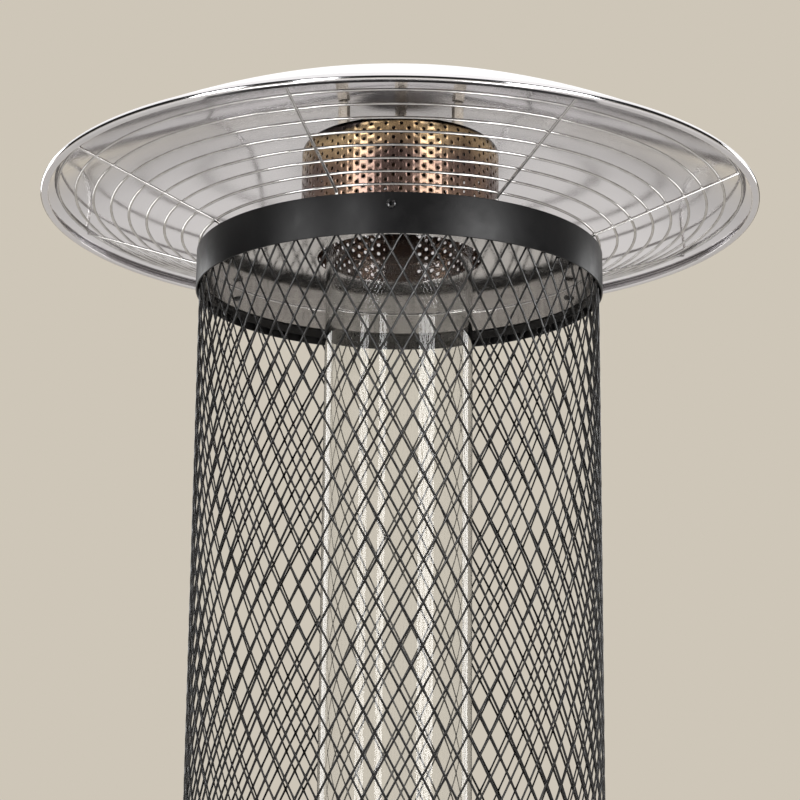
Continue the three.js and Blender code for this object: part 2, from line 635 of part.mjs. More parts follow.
function reflectorNut(azimuth) {
  const seat = domeUnder(POST_R - POST_HEX_R) + REFLECTOR_WALL + GAP;
  const hex = rodZ(POST_HEX_R, [seat, seat + 3.5], 0, -POST_R, 6);
  const cap = turned([[0, seat + 3], [3.6, seat + 3], [3.6, seat + 5], [2, seat + 7.5], [0, seat + 8]], 10);
  const bore = rodZ(STUD_R + 0.4, [seat - 1, STUD_TOP + GAP], 0, -POST_R, 10);
  return turnedTo(azimuth, cut(join(hex, cap.translate(0, -POST_R, 0)), bore));
}

piece("reflector", reflector(), MIRROR);
POST_AZIMUTHS.forEach((azimuth, i) => {
  piece(`reflector_post_${i + 1}`, reflectorPost(azimuth), STEEL);
  piece(`reflector_nut_${i + 1}`, reflectorNut(azimuth), STEEL);
});

// ---- Grille: rings on a cone, with the spokes welded under them. The spokes' inner ends are
// bent down and stand on the top plate.
function grille() {
  const run = GRILLE_OUTER.r - GRILLE_INNER.r;
  const slope = (GRILLE_OUTER.z - GRILLE_INNER.z) / run;
  const zAt = (r) => GRILLE_INNER.z + slope * (r - GRILLE_INNER.r);
  const ring = (i) => {
    const r = GRILLE_INNER.r + (run * i) / (GRILLE_RINGS - 1);
    const z = zAt(r);
    const low = z - RING_WIRE_R / 2;
    return turned([[r - RING_WIRE_R, low], [r + RING_WIRE_R, low], [r, z + RING_WIRE_R]]);
  };
  const under = 1.2; // from the rings' middle down to the spokes' middle
  const [near, far] = [GRILLE_INNER.r - 3.5, GRILLE_OUTER.r + 1];
  const spoke = (i) => {
    const inner = [0, -near, zAt(near) - under];
    const shape = rodBetween(inner, [0, -far, zAt(far) - under], SPOKE_WIRE_R, 6);
    const foot = rodZ(SPOKE_WIRE_R, [CAGE_TOP + GAP, inner[2]], 0, -near, 6);
    return turnedTo(GRILLE_TURN + (360 * i) / GRILLE_SPOKES, join(shape, foot));
  };
  const rings = Array.from({ length: GRILLE_RINGS }, (_, i) => ring(i));
  const spokes = Array.from({ length: GRILLE_SPOKES }, (_, i) => spoke(i));
  return join(...rings, ...spokes);
}

piece("grille", grille(), MIRROR);

export default heater;
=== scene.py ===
"""Looks of an outdoor gas heater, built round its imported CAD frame.

Shapes are in millimetres, +Z up, the front of the heater faces -Y, and azimuths are degrees
round the axis from the front, positive towards +X. Meshes are scaled to metres when they are made.
"""
import math

import bmesh
import bpy
from mathutils import Matrix, Vector


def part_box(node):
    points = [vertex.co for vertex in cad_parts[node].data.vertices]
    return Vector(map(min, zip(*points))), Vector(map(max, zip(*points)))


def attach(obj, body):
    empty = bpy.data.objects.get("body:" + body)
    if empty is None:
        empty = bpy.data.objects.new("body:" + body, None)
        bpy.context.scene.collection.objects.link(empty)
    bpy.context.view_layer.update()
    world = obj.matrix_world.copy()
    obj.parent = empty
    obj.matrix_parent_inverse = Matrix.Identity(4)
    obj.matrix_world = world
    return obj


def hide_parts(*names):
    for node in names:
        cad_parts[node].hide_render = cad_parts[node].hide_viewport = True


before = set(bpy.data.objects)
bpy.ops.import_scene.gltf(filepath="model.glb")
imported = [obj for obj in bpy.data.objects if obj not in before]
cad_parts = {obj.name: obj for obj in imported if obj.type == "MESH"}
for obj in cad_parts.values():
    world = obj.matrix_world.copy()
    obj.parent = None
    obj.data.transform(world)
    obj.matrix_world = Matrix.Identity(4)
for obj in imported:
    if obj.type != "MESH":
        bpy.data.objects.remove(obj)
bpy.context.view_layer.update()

MM = 0.001
TAU = 2 * math.pi


def new_object(name, data):
    made = bpy.data.objects.new(name, data)
    bpy.context.scene.collection.objects.link(made)
    return made


# ---- Camera and light ----
def make_camera():
    data = bpy.data.cameras.new("camera")
    data.lens = 106.8
    data.shift_x = 0.0023
    camera = new_object("camera", data)
    camera.location = (0, -1.7102, 0.540)
    # Pitched up, then rolled a little about the view axis.
    tilt = Matrix.Rotation(math.radians(90 + 14.2), 4, "X") @ Matrix.Rotation(math.radians(0.55), 4, "Z")
    camera.rotation_euler = tilt.to_euler()
    bpy.context.scene.camera = camera


def softbox(name, azimuth, distance, height, size, radiance, aim):
    """A rectangular light of size (width, height) in metres, which the camera and the glass don't see."""
    data = bpy.data.lights.new(name, "AREA")
    data.shape = "RECTANGLE"
    data.size, data.size_y = size
    data.energy = radiance * math.pi * size[0] * size[1]
    light = new_object(name, data)
    angle = math.radians(azimuth)
    light.location = (distance * math.sin(angle), -distance * math.cos(angle), height)
    light.rotation_euler = (Vector(aim) - light.location).to_track_quat("-Z", "Y").to_euler()
    light.visible_camera = False
    light.visible_transmission = False


BACKDROP = (0.617, 0.565, 0.479)
CEILING_LEAN = 0.33  # how much further down the bright ceiling comes behind the heater
CEILING = (("From Min", 0.63), ("From Max", 0.69), ("To Min", 0.02), ("To Max", 1.15))
STRIP_DISTANCE = 2.4
STRIP_HEIGHT = 1.45
STRIP_LENGTH = 1.5
CARD_DISTANCE = 0.75
CARD_HEIGHT = 0.02


def make_world():
    """A beige backdrop for the camera; what metal reflects is a dark studio with a bright ceiling."""
    world = bpy.data.worlds.new("studio")
    world.use_nodes = True
    nodes, link = world.node_tree.nodes, world.node_tree.links.new

    def calculate(operation, *values):
        made = nodes.new("ShaderNodeMath")
        made.operation = operation
        for socket, value in zip(made.inputs, values):
            if isinstance(value, bpy.types.NodeSocket):
                link(value, socket)
            else:
                socket.default_value = value
        return made.outputs[0]

    backdrop = nodes["Background"]
    backdrop.inputs["Color"].default_value = (*BACKDROP, 1)
    split = nodes.new("ShaderNodeSeparateXYZ")
    link(nodes.new("ShaderNodeTexCoord").outputs["Generated"], split.inputs[0])
    behind = calculate("MAXIMUM", split.outputs["Y"], 0)
    sky = nodes.new("ShaderNodeMapRange")
    sky.interpolation_type = "SMOOTHSTEP"
    link(calculate("MULTIPLY_ADD", behind, CEILING_LEAN, split.outputs["Z"]), sky.inputs["Value"])
    for socket, number in CEILING:
        sky.inputs[socket].default_value = number
    around = nodes.new("ShaderNodeBackground")
    around.inputs["Color"].default_value = (1.0, 0.985, 0.975, 1)
    link(sky.outputs["Result"], around.inputs["Strength"])
    path = nodes.new("ShaderNodeLightPath")
    mix = nodes.new("ShaderNodeMixShader")
    seen = calculate("MAXIMUM", path.outputs["Is Camera Ray"], path.outputs["Is Transmission Ray"])
    for socket, value in zip(mix.inputs, (seen, around.outputs[0], backdrop.outputs[0])):
        link(value, socket)
    link(mix.outputs[0], nodes["World Output"].inputs["Surface"])
    bpy.context.scene.world = world


def make_studio():
    make_world()
    bpy.context.scene.view_settings.view_transform = "Standard"
    for name, azimuth, wide, radiance in (
        ("strip_left", -54, 0.6, 7.0), ("strip_left_inner", -24, 0.45, 8.0), ("strip_right", 44, 1.1, 8.5),
        ("strip_back_right", 128, 0.8, 3.5), ("strip_back_left", -137, 0.8, 3.0),
    ):
        softbox(name, azimuth, STRIP_DISTANCE, STRIP_HEIGHT, (wide, STRIP_LENGTH), radiance,
                aim=(0, 0, STRIP_HEIGHT))
    # Low level cards shine straight up into the dome, which throws them onto the emitter.
    for name, azimuth in (("card_left", -50), ("card_right", 38)):
        angle = math.radians(azimuth)
        above = (CARD_DISTANCE * math.sin(angle), -CARD_DISTANCE * math.cos(angle), 2)
        softbox(name, azimuth, CARD_DISTANCE, CARD_HEIGHT, (0.32, 0.40), 7.5, aim=above)


# ---- Materials ----
class Surface:
    """A Principled material with small calls for the nodes that every finish here needs."""

    def __init__(self, name, **sockets):
        self.material = bpy.data.materials.new(name)
        self.material.use_nodes = True
        tree = self.material.node_tree
        self.nodes, self.links = tree.nodes, tree.links
        self.shader = tree.nodes["Principled BSDF"]
        self.position = self.nodes.new("ShaderNodeTexCoord").outputs["Object"]
        for socket, value in sockets.items():
            self.shader.inputs[socket.replace("_", " ")].default_value = value

    def node(self, kind, **inputs):
        made = self.nodes.new(kind)
        for socket, value in inputs.items():
            self.feed(made.inputs[socket.replace("_", " ")], value)
        return made

    def feed(self, socket, value):
        if isinstance(value, bpy.types.NodeSocket):
            self.links.new(value, socket)
        else:
            socket.default_value = value

    def noise(self, scale, detail=3.0, rough=0.55):
        """Noise with features of about 1/scale metres; scale may be one number or one per axis."""
        per_axis = scale if isinstance(scale, tuple) else (scale,) * 3
        stretched = self.node("ShaderNodeMapping", Vector=self.position, Scale=per_axis)
        made = self.node("ShaderNodeTexNoise", Vector=stretched.outputs["Vector"], Scale=1.0,
                         Detail=detail, Roughness=rough)
        return made.outputs["Fac"]

    def spread(self, value, low, high, start=0.3, end=0.7):
        ranged = self.node("ShaderNodeMapRange", Value=value)
        for socket, number in zip(("From Min", "From Max", "To Min", "To Max"), (start, end, low, high)):
            ranged.inputs[socket].default_value = number
        return ranged.outputs["Result"]

    def ramp(self, value, *stops):
        made = self.node("ShaderNodeValToRGB", Fac=value)
        elements = made.color_ramp.elements
        while len(elements) < len(stops):
            elements.new(0.5)
        for element, (place, colour) in zip(elements, stops):
            element.position = place
            element.color = (*colour, 1)
        return made.outputs["Color"]

    def mix(self, share, under, over):
        made = self.node("ShaderNodeMix")
        made.data_type = "RGBA"
        for socket, value in ((0, share), (6, under), (7, over)):
            self.feed(made.inputs[socket], value)
        return made.outputs[2]

    def colour(self, value):
        self.feed(self.shader.inputs["Base Color"], value)

    def roughness(self, value):
        self.feed(self.shader.inputs["Roughness"], value)

    def bump(self, height, strength, depth):
        """Bump of the given depth in metres, over any bump that is already there."""
        socket = self.shader.inputs["Normal"]
        made = self.node("ShaderNodeBump", Height=height, Strength=strength, Distance=depth)
        if socket.is_linked:
            self.links.new(socket.links[0].from_socket, made.inputs["Normal"])
        self.links.new(made.outputs["Normal"], socket)


def mottled(name, dark, light, rough, grain, bumps, **sockets):
    """A finish whose colour and roughness drift between two values over grain-sized patches."""
    surface = Surface(name, **sockets)
    drift = surface.noise(grain)
    surface.colour(surface.ramp(drift, (0.35, dark), (0.65, light)))
    finer = grain if isinstance(grain, tuple) else grain * 2.3
    surface.roughness(surface.spread(surface.noise(finer), *rough))
    for scale, strength, depth in bumps:
        surface.bump(surface.noise(scale, 2.0), strength, depth)
    return surface.material


def powder_coat(name, dark, light, rough, **sockets):
    """Powder coat: a fine orange peel over a slow drift, with sparse paler specks that are painted glints
    standing in for the coat's sparkle.
    """
    surface = Surface(name, **sockets)
    # Sparse paler specks: painted glints in the base colour, in place of the coat's sparkle.
    painted_sparkle = surface.spread(surface.noise(2600, 1.0), 0.0, 1.0, 0.62, 0.74)
    drift = surface.ramp(surface.noise(14), (0.3, dark), (0.7, light))
    surface.colour(surface.mix(painted_sparkle, drift, (*[3.2 * channel for channel in light], 1)))
    surface.roughness(surface.spread(surface.noise(90), *rough))
    surface.bump(surface.noise(1500, 2.0), 0.28, 0.00012)
    surface.bump(surface.noise(420, 1.0), 0.12, 0.00018)
    return surface.material


def heat_tinted(name):
    """Stainless steel that has glowed: brown and bronze, gold near the top edge, black on the top."""
    surface = Surface(name, Metallic=1.0)
    patches = surface.noise((26, 26, 9), 4.0, 0.6)
    body = surface.ramp(
        patches, (0.30, (0.085, 0.058, 0.050)), (0.42, (0.130, 0.088, 0.074)),
        (0.54, (0.200, 0.136, 0.108)), (0.66, (0.270, 0.180, 0.125)), (0.76, (0.140, 0.098, 0.090)),
    )
    # The zones follow the height in metres, with an uneven border.
    split = surface.node("ShaderNodeSeparateXYZ", Vector=surface.position)
    height = surface.node("ShaderNodeMath", Value=split.outputs["Z"])
    surface.feed(height.inputs[1], surface.spread(patches, -0.006, 0.006))
    gilding = surface.spread(height.outputs[0], 0.0, 1.0, 1.138, 1.160)
    scaling = surface.spread(height.outputs[0], 0.0, 1.0, 1.160, 1.167)
    gold = surface.ramp(patches, (0.35, (0.270, 0.185, 0.100)), (0.65, (0.620, 0.450, 0.250)))
    scale = surface.ramp(patches, (0.35, (0.020, 0.016, 0.015)), (0.65, (0.042, 0.033, 0.030)))
    surface.colour(surface.mix(scaling, surface.mix(gilding, body, gold), scale))
    surface.roughness(surface.spread(surface.noise((180, 180, 40)), 0.14, 0.26))
    surface.bump(surface.noise((900, 900, 60), 2.0), 0.10, 0.00008)
    return surface.material


def flame_glass(name):
    surface = Surface(name, IOR=1.47, Base_Color=(0.997, 1.0, 0.998, 1))
    surface.shader.inputs["Transmission Weight"].default_value = 1.0
    surface.roughness(surface.spread(surface.noise((8, 8, 5), 2.0), 0.0, 0.003))
    return surface.material


def make_materials():
    """The finish of each slot, and the print on the panel and the knob."""
    metal = {"Metallic": 1.0}
    finishes = (
        ("mesh_coat", "mesh_enamel_black", (0.002, 0.002, 0.0022), (0.004, 0.004, 0.0044),
         (0.12, 0.20), 240, [(900, 0.12, 0.0001)], {"Specular_IOR_Level": 0.45}),
        ("black_screw", "screw_black", (0.006, 0.006, 0.007), (0.014, 0.014, 0.015),
         (0.10, 0.20), 500, [(1800, 0.1, 0.00005)], {"Coat_Weight": 0.6, "Coat_Roughness": 0.08}),
        ("foot_rubber", "rubber_foot", (0.012, 0.012, 0.012), (0.022, 0.022, 0.021),
         (0.72, 0.9), 120, [(1200, 0.3, 0.0002)], {}),
        ("wheel_rubber", "rubber_wheel", (0.015, 0.015, 0.015), (0.028, 0.027, 0.026),
         (0.62, 0.82), 90, [(900, 0.3, 0.0002)], {}),
        ("zinc_steel", "zinc_plate", (0.42, 0.43, 0.43), (0.60, 0.60, 0.57),
         (0.26, 0.42), 260, [(1100, 0.12, 0.0001)], metal),
        ("satin_steel", "satin_stainless", (0.50, 0.49, 0.475), (0.60, 0.59, 0.57),
         (0.24, 0.36), (300, 300, 12), [((1600, 1600, 30), 0.12, 0.0001)], metal),
        ("mirror_steel", "brushed_mirror_stainless", (0.62, 0.605, 0.59), (0.74, 0.72, 0.70),
         (0.06, 0.14), (160, 160, 6), [((700, 700, 14), 0.05, 0.00006), (34, 0.02, 0.0003)], metal),
        ("reflector_steel", "spun_mirror_stainless", (0.77, 0.76, 0.775), (0.85, 0.84, 0.855),
         (0.06, 0.13), 9, [(11, 0.10, 0.0012), (60, 0.03, 0.0003)], metal),
        ("bright_wire", "chrome_wire", (0.50, 0.49, 0.48), (0.64, 0.63, 0.62),
         (0.07, 0.18), 120, [(700, 0.06, 0.00008)], metal),
        ("post_steel", "bright_bar_steel", (0.86, 0.79, 0.68), (0.95, 0.89, 0.79),
         (0.16, 0.28), 180, [(900, 0.08, 0.0001)], metal),
        ("cast_aluminium", "cast_aluminium", (0.44, 0.44, 0.45), (0.58, 0.58, 0.58),
         (0.42, 0.6), 200, [(900, 0.35, 0.0003)], metal),
        ("brass", "turned_brass", (0.46, 0.31, 0.12), (0.62, 0.44, 0.19),
         (0.22, 0.36), 150, [(1300, 0.1, 0.0001)], metal),
        ("black_plastic", "moulded_black_plastic", (0.013, 0.013, 0.014), (0.02, 0.02, 0.021),
         (0.34, 0.46), 200, [(1400, 0.22, 0.00015)], {}),
        ("button_plastic", "red_plastic", (0.38, 0.012, 0.008), (0.48, 0.022, 0.013),
         (0.14, 0.22), 80, [(500, 0.05, 0.0001)], {"Coat_Weight": 0.3, "Coat_Roughness": 0.1}),
        ("ceramic", "glazed_ceramic", (0.70, 0.67, 0.60), (0.80, 0.78, 0.73),
         (0.12, 0.24), 160, [(600, 0.08, 0.0001)], {"Coat_Weight": 0.5, "Coat_Roughness": 0.08}),
        ("print", "pale_print", (0.60, 0.60, 0.58), (0.70, 0.70, 0.68),
         (0.5, 0.62), 300, [(1500, 0.1, 0.00005)], {}),
    )
    made = {
        "black_coat": powder_coat("powder_coat_black", (0.0045, 0.0045, 0.0048), (0.0065, 0.0065, 0.0070),
                                  (0.30, 0.40), Specular_IOR_Level=0.24),
        "tinted_steel": heat_tinted("heat_tinted_stainless"),
        "flame_glass": flame_glass("clear_flame_glass"),
    }
    for slot, name, dark, light, rough, grain, bumps, sockets in finishes:
        made[slot] = mottled(name, dark, light, rough, grain, bumps, **sockets)
    return made


# ---- Shape helpers: a shape is (vertices, faces) ----
def merge(*shapes):
    verts, faces = [], []
    for some_verts, some_faces in shapes:
        base = len(verts)
        verts += some_verts
        faces += [[base + i for i in face] for face in some_faces]
    return verts, faces


def moved(shape, matrix):
    return [tuple(matrix @ Vector(v)) for v in shape[0]], shape[1]


def shifted(shape, x=0.0, y=0.0, z=0.0):
    return moved(shape, Matrix.Translation((x, y, z)))


def turned_to(azimuth, shape):
    """Turns a shape made at the front round the axis to an azimuth."""
    return moved(shape, Matrix.Rotation(math.radians(azimuth), 4, "Z"))


def around_axis(shape, count):
    """Copies of a shape, evenly spaced round the Z axis."""
    return [moved(shape, Matrix.Rotation(TAU * i / count, 4, "Z")) for i in range(count)]


def facing_front(shape):
    """Lays a shape made along +Z so that it points to the front, -Y."""
    return moved(shape, Matrix.Rotation(math.pi / 2, 4, "X"))


def loft(rings):
    """Joins rings of equal length and closes both ends."""
    verts = [tuple(p) for ring in rings for p in ring]
    size = len(rings[0])
    faces = []
    for a in range(0, len(verts) - size, size):
        for i in range(size):
            j = (i + 1) % size
            faces.append([a + i, a + j, a + size + j, a + size + i])
    faces.append(list(range(size))[::-1])
    faces.append([len(verts) - size + i for i in range(size)])
    return verts, faces


ON_AXIS = 1e-6  # a point of an outline with a smaller radius lies on the axis


def revolve(outline, segments):
    """Turns an outline of (radius, z) round the Z axis; it ends on the axis or closes on itself."""
    open_ended = outline[0][0] < ON_AXIS
    verts, faces, rings = [], [], []
    for r, z in outline:
        count = 1 if r < ON_AXIS else segments
        rings.append([len(verts) + i for i in range(count)])
        turns = [TAU * i / segments for i in range(count)]
        verts += [(r * math.sin(turn), -r * math.cos(turn), z) for turn in turns]
    following = rings[1:] + ([] if open_ended else rings[:1])
    for a, b in zip(rings, following):
        for i in range(segments):
            j = (i + 1) % segments
            face = [a[i % len(a)], a[j % len(a)], b[j % len(b)], b[i % len(b)]]
            face = list(dict.fromkeys(face))
            if len(face) > 2:
                faces.append(face)
    return verts, faces


def soften(outline, radius, steps, closed=True):
    """Rounds the corners of an outline by up to radius."""
    points = [Vector(p) for p in outline]
    rounded = []
    for i, corner in enumerate(points):
        if not closed and i in (0, len(points) - 1):
            rounded.append(corner)
            continue
        before, after = points[i - 1] - corner, points[(i + 1) % len(points)] - corner
        cut = min(radius, 0.45 * before.length, 0.45 * after.length)
        start, end = corner + before.normalized() * cut, corner + after.normalized() * cut
        for k in range(steps + 1):
            t = k / steps
            rounded.append((1 - t) ** 2 * start + 2 * t * (1 - t) * corner + t**2 * end)
    return [tuple(p) for p in rounded]


def section(inner, outer, low, high):
    """A rectangle: the outline of a plain ring, or of a cylinder where inner is 0."""
    return [(inner, low), (outer, low), (outer, high), (inner, high)]


def lathe(outline, radius, segments, steps):
    """A revolved piece whose corners are all rounded."""
    return revolve(soften(outline, radius, steps, closed=outline[0][0] > ON_AXIS), segments)


def arc_points(centre, radius, start, end, steps):
    angles = [math.radians(start + (end - start) * i / steps) for i in range(steps + 1)]
    return [(centre[0] + radius * math.cos(a), centre[1] + radius * math.sin(a)) for a in angles]


def sweep(points, radius, sides):
    """A round bar along points, with softened ends."""
    path = [Vector(p) for p in points]
    last = len(path) - 1
    turns = [TAU * k / sides for k in range(sides)]
    rings = []
    side = (path[1] - path[0]).normalized().orthogonal().normalized()
    for i, centre in enumerate(path):
        tangent = (path[min(i + 1, last)] - path[max(i - 1, 0)]).normalized()
        side = (side - tangent * side.dot(tangent)).normalized()
        other = tangent.cross(side)
        ends = {0: [(-0.3, 0.7), (0.0, 1.0)], last: [(0.0, 1.0), (0.3, 0.7)]}
        for push, share in ends.get(i, [(0.0, 1.0)]):
            middle = centre + tangent * push * radius
            rings.append([
                middle + radius * share * (math.cos(turn) * side + math.sin(turn) * other)
                for turn in turns
            ])
    return loft(rings)


def brick(low, high, bevel, segments=3):
    """A box with rounded edges."""
    bm = bmesh.new()
    bmesh.ops.create_cube(bm, size=1)
    low, high = Vector(low), Vector(high)
    for v in bm.verts:
        v.co = Vector(a + (b - a) * (c + 0.5) for a, b, c in zip(low, high, v.co))
    bmesh.ops.bevel(bm, geom=bm.edges[:], offset=bevel, segments=segments, profile=0.5, affect="EDGES")
    return unpacked(bm)


def unpacked(bm):
    bm.verts.index_update()
    shape = [tuple(v.co) for v in bm.verts], [[v.index for v in f.verts] for f in bm.faces]
    bm.free()
    return shape


def packed(shape):
    bm = bmesh.new()
    verts = [bm.verts.new(v) for v in shape[0]]
    for face in shape[1]:
        try:
            bm.faces.new([verts[i] for i in face])
        except ValueError:
            continue
    return bm


def scratch_object(shape):
    mesh = bpy.data.meshes.new("scratch")
    mesh.from_pydata(shape[0], [], shape[1])
    return new_object("scratch", mesh)


def carve(shape, *cutters):
    """The shape less the cutters, which don't overlap each other."""
    target, tool = scratch_object(shape), scratch_object(merge(*cutters))
    modifier = target.modifiers.new("carve", "BOOLEAN")
    modifier.operation, modifier.solver, modifier.object = "DIFFERENCE", "EXACT", tool
    done = target.evaluated_get(bpy.context.evaluated_depsgraph_get()).to_mesh()
    result = [tuple(v.co) for v in done.vertices], [list(p.vertices) for p in done.polygons]
    for scratch in (target, tool):
        bpy.data.objects.remove(scratch)
    return result


def rounded_rect(x0, x1, z0, z1, radius, steps=5):
    """Corner-rounded rectangle outline, counter-clockwise."""
    corners = [((x1 - radius, z0 + radius), -90), ((x1 - radius, z1 - radius), 0),
               ((x0 + radius, z1 - radius), 90), ((x0 + radius, z0 + radius), 180)]
    return [p for centre, start in corners for p in arc_points(centre, radius, start, start + 90, steps)]


def flat_sheet(outline, holes, wall, bevel):
    """A flat plate in the XZ plane with its outer face at y = 0 and its thickness towards +Y."""
    curve = bpy.data.curves.new("scratch", "CURVE")
    curve.dimensions, curve.fill_mode = "2D", "BOTH"
    for points in [outline, *holes]:
        spline = curve.splines.new("POLY")
        spline.points.add(len(points) - 1)
        for point, (x, z) in zip(spline.points, points):
            point.co = (x, z, 0, 1)
        spline.use_cyclic_u = True
    curve.extrude, curve.bevel_depth, curve.bevel_resolution = wall / 2 - bevel, bevel, 1
    curve.offset = -bevel
    holder = new_object("scratch", curve)
    done = holder.evaluated_get(bpy.context.evaluated_depsgraph_get()).to_mesh()
    verts = [(v.co.x, wall / 2 - v.co.z, v.co.y) for v in done.vertices]
    faces = [list(p.vertices) for p in done.polygons]
    bpy.data.objects.remove(holder)
    return verts, faces


def wrapped(shape, radius, middle, step):
    """Bends a flat sheet round the axis: x is the arc length at the outer radius."""
    bm = packed(shape)
    bmesh.ops.remove_doubles(bm, verts=bm.verts, dist=1e-4)
    arc = math.radians(step) * radius
    low, high = min(v.co.x for v in bm.verts), max(v.co.x for v in bm.verts)
    count = int((high - low) / arc)
    for i in range(1, count + 1):
        place = low + (high - low) * i / (count + 1)
        geometry = bm.verts[:] + bm.edges[:] + bm.faces[:]
        bmesh.ops.bisect_plane(bm, geom=geometry, plane_co=(place, 0, 0), plane_no=(1, 0, 0), dist=1e-3)
    for v in bm.verts:
        angle = v.co.x / radius + math.radians(middle)
        r = radius - v.co.y
        v.co = (r * math.sin(angle), -r * math.cos(angle), v.co.z)
    return unpacked(bm)


def curved_plate(outer, wall, azimuths, heights, corner, bevel=0.3, step=2.0):
    """A sheet bent round the axis, with rounded corners; azimuths in degrees."""
    middle = sum(azimuths) / 2
    half = math.radians(azimuths[1] - azimuths[0]) / 2 * outer
    outline = rounded_rect(-half, half, *heights, corner)
    return wrapped(flat_sheet(outline, (), wall, bevel), outer, middle, step)


MATERIALS = make_materials()


def add(name, shape, slot, replaces=(), body="cabinet", smooth=34, material=None, wall=None):
    """Makes the piece, in metres, on its body and in its slot; wall thickens a shell inwards."""
    mesh = bpy.data.meshes.new(name)
    mesh.from_pydata([Vector(v) * MM for v in shape[0]], [], shape[1])
    bm = bmesh.new()
    bm.from_mesh(mesh)
    bmesh.ops.remove_doubles(bm, verts=bm.verts, dist=1e-7)
    bmesh.ops.recalc_face_normals(bm, faces=bm.faces)
    bm.to_mesh(mesh)
    bm.free()
    mesh.materials.append(MATERIALS[material or slot])
    mesh.shade_smooth()
    mesh.set_sharp_from_angle(angle=math.radians(smooth))
    made = new_object(name, mesh)
    if wall:
        shell = made.modifiers.new("wall", "SOLIDIFY")
        shell.thickness, shell.offset = wall * MM, -1
    even = made.modifiers.new("even_normals", "WEIGHTED_NORMAL")
    even.keep_sharp = True
    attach(made, body)
    if replaces:
        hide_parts(*replaces)


def box(node):
    """A CAD node's lowest and highest corner, in millimetres."""
    low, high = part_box(node)
    return low / MM, high / MM


def middle_of(node):
    low, high = box(node)
    return (low + high) / 2


def refine(node, slot, bevel, body="cabinet", smooth=40):
    """Replaces a CAD node by its own shape with rounded edges and smooth round faces."""
    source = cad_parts[node].data
    verts = [tuple(v.co / MM) for v in source.vertices]
    bm = packed((verts, [list(p.vertices) for p in source.polygons]))
    bmesh.ops.remove_doubles(bm, verts=bm.verts, dist=1e-3)
    bmesh.ops.dissolve_limit(bm, angle_limit=math.radians(1), verts=bm.verts, edges=bm.edges)
    sharp = [e for e in bm.edges if len(e.link_faces) == 2 and e.calc_face_angle(0) > math.radians(44)]
    bmesh.ops.bevel(bm, geom=sharp, offset=bevel, segments=2, profile=0.5, affect="EDGES",
                    clamp_overlap=True)
    add(f"{node}_finished", unpacked(bm), slot, [node], body, smooth)


# ---- Reflector, its posts and nuts ----
DOME_RISE = 75.3
DOME_POWER = 1.7
CROWN_R = 40.0  # the dome is flatter inside this radius
SHEET_REFLECTOR = 1.0
LIP_STRAIGHT = 2.0
LIP_BEND = 3.0
RETURN_LIP = 5.0


def dome_profile():
    low, high = box("reflector")
    edge, rim = high.x, low.z
    bend_r = edge - SHEET_REFLECTOR - LIP_BEND
    bend_z = rim + LIP_STRAIGHT + LIP_BEND
    return edge, rim, bend_r, bend_z


def past_crown(r):
    return max(0, (r ** 3 + CROWN_R ** 3) ** (1 / 3) - CROWN_R)


def dome_under(r):
    _, _, bend_r, bend_z = dome_profile()
    share = past_crown(r) / past_crown(bend_r)
    return bend_z + DOME_RISE * (1 - share ** DOME_POWER)


def reflector():
    edge, rim, bend_r, bend_z = dome_profile()
    steps = 56
    radii = [bend_r * i / steps for i in range(steps)]
    centre = (bend_r, bend_z - LIP_BEND)
    under = [(r, dome_under(r)) for r in radii] + arc_points(centre, LIP_BEND, 90, 0, 8)
    # The sheet's edge is turned in under the rim, and ends in a small bead.
    hem = arc_points((edge - 1.6, rim + 1.5), 0.6, 0, -90, 4)
    hem += arc_points((edge - RETURN_LIP, rim + 0.9), 0.9, 60, 270, 10)
    hem += arc_points((edge - 1.4, rim + 1.4), 1.4, -90, 0, 6)
    over = arc_points(centre, LIP_BEND + SHEET_REFLECTOR, 0, 90, 8)
    over += [(r, dome_under(r) + SHEET_REFLECTOR) for r in reversed(radii)]
    add("reflector_dome", revolve(under + hem + over, 288), "reflector_steel", ["reflector"])


def hex_bar(radius, low, high, chamfer=0.5):
    """A hexagonal bar with turned chamfers at both ends, its edges slightly rounded."""
    def ring(share, z):
        corners = arc_points((0, 0), radius * share, 0, 300, 5)
        return [(x, y, z) for x, y in soften(corners, 0.5, 2)]

    rings = [ring(1 - chamfer / radius, low), ring(1, low + chamfer * 0.6)]
    rings += [ring(1, high - chamfer * 0.6), ring(1 - chamfer / radius, high)]
    return loft(rings)


RINGS_PER_TURN = 6
THREAD_DEPTH = 0.25  # as a share of the pitch


def thread(radius, low, high, pitch=0.8):
    """A threaded rod: a helical groove in a fine grid of rings."""
    around = 24
    rings = []
    count = int((high - low) / pitch * RINGS_PER_TURN)
    for k in range(count + 1):
        z = low + (high - low) * k / count
        ring = []
        for i in range(around):
            phase = (z / pitch - i / around) % 1
            r = radius - THREAD_DEPTH * pitch * abs(2 * phase - 1)
            ring.append((r * math.cos(TAU * i / around), r * math.sin(TAU * i / around), z))
        rings.append(ring)
    return loft(rings)


POST_R = 4.6


def posts():
    for number in (1, 2, 3):
        low, high = box(f"reflector_post_{number}")
        seat, top = box(f"reflector_nut_{number}")
        at = middle_of(f"reflector_post_{number}").to_2d()
        shoulder = dome_under(at.length + POST_R) - 0.6
        bar = hex_bar(POST_R, low.z, shoulder)
        stud = thread(2.5, shoulder - 1, high.z - 0.2)
        add(f"reflector_spacer_{number}", shifted(merge(bar, stud), at.x, at.y), "post_steel",
            [f"reflector_post_{number}"])
        base = seat.z
        washer = lathe(section(3.0, 6.2, base, base + 0.8), 0.2, 32, 2)
        hexed = hex_bar(POST_R, base + 0.85, base + 3.6, 0.6)
        crown = [(0, 3.2), (3.9, 3.2), (3.9, 4.0), (3.75, 5.2), (3.1, 6.6), (1.9, 7.6), (0, top.z - base)]
        cap = shifted(revolve(crown, 32), z=base)
        add(f"acorn_nut_{number}", shifted(merge(washer, hexed, cap), at.x, at.y), "post_steel",
            [f"reflector_nut_{number}"])


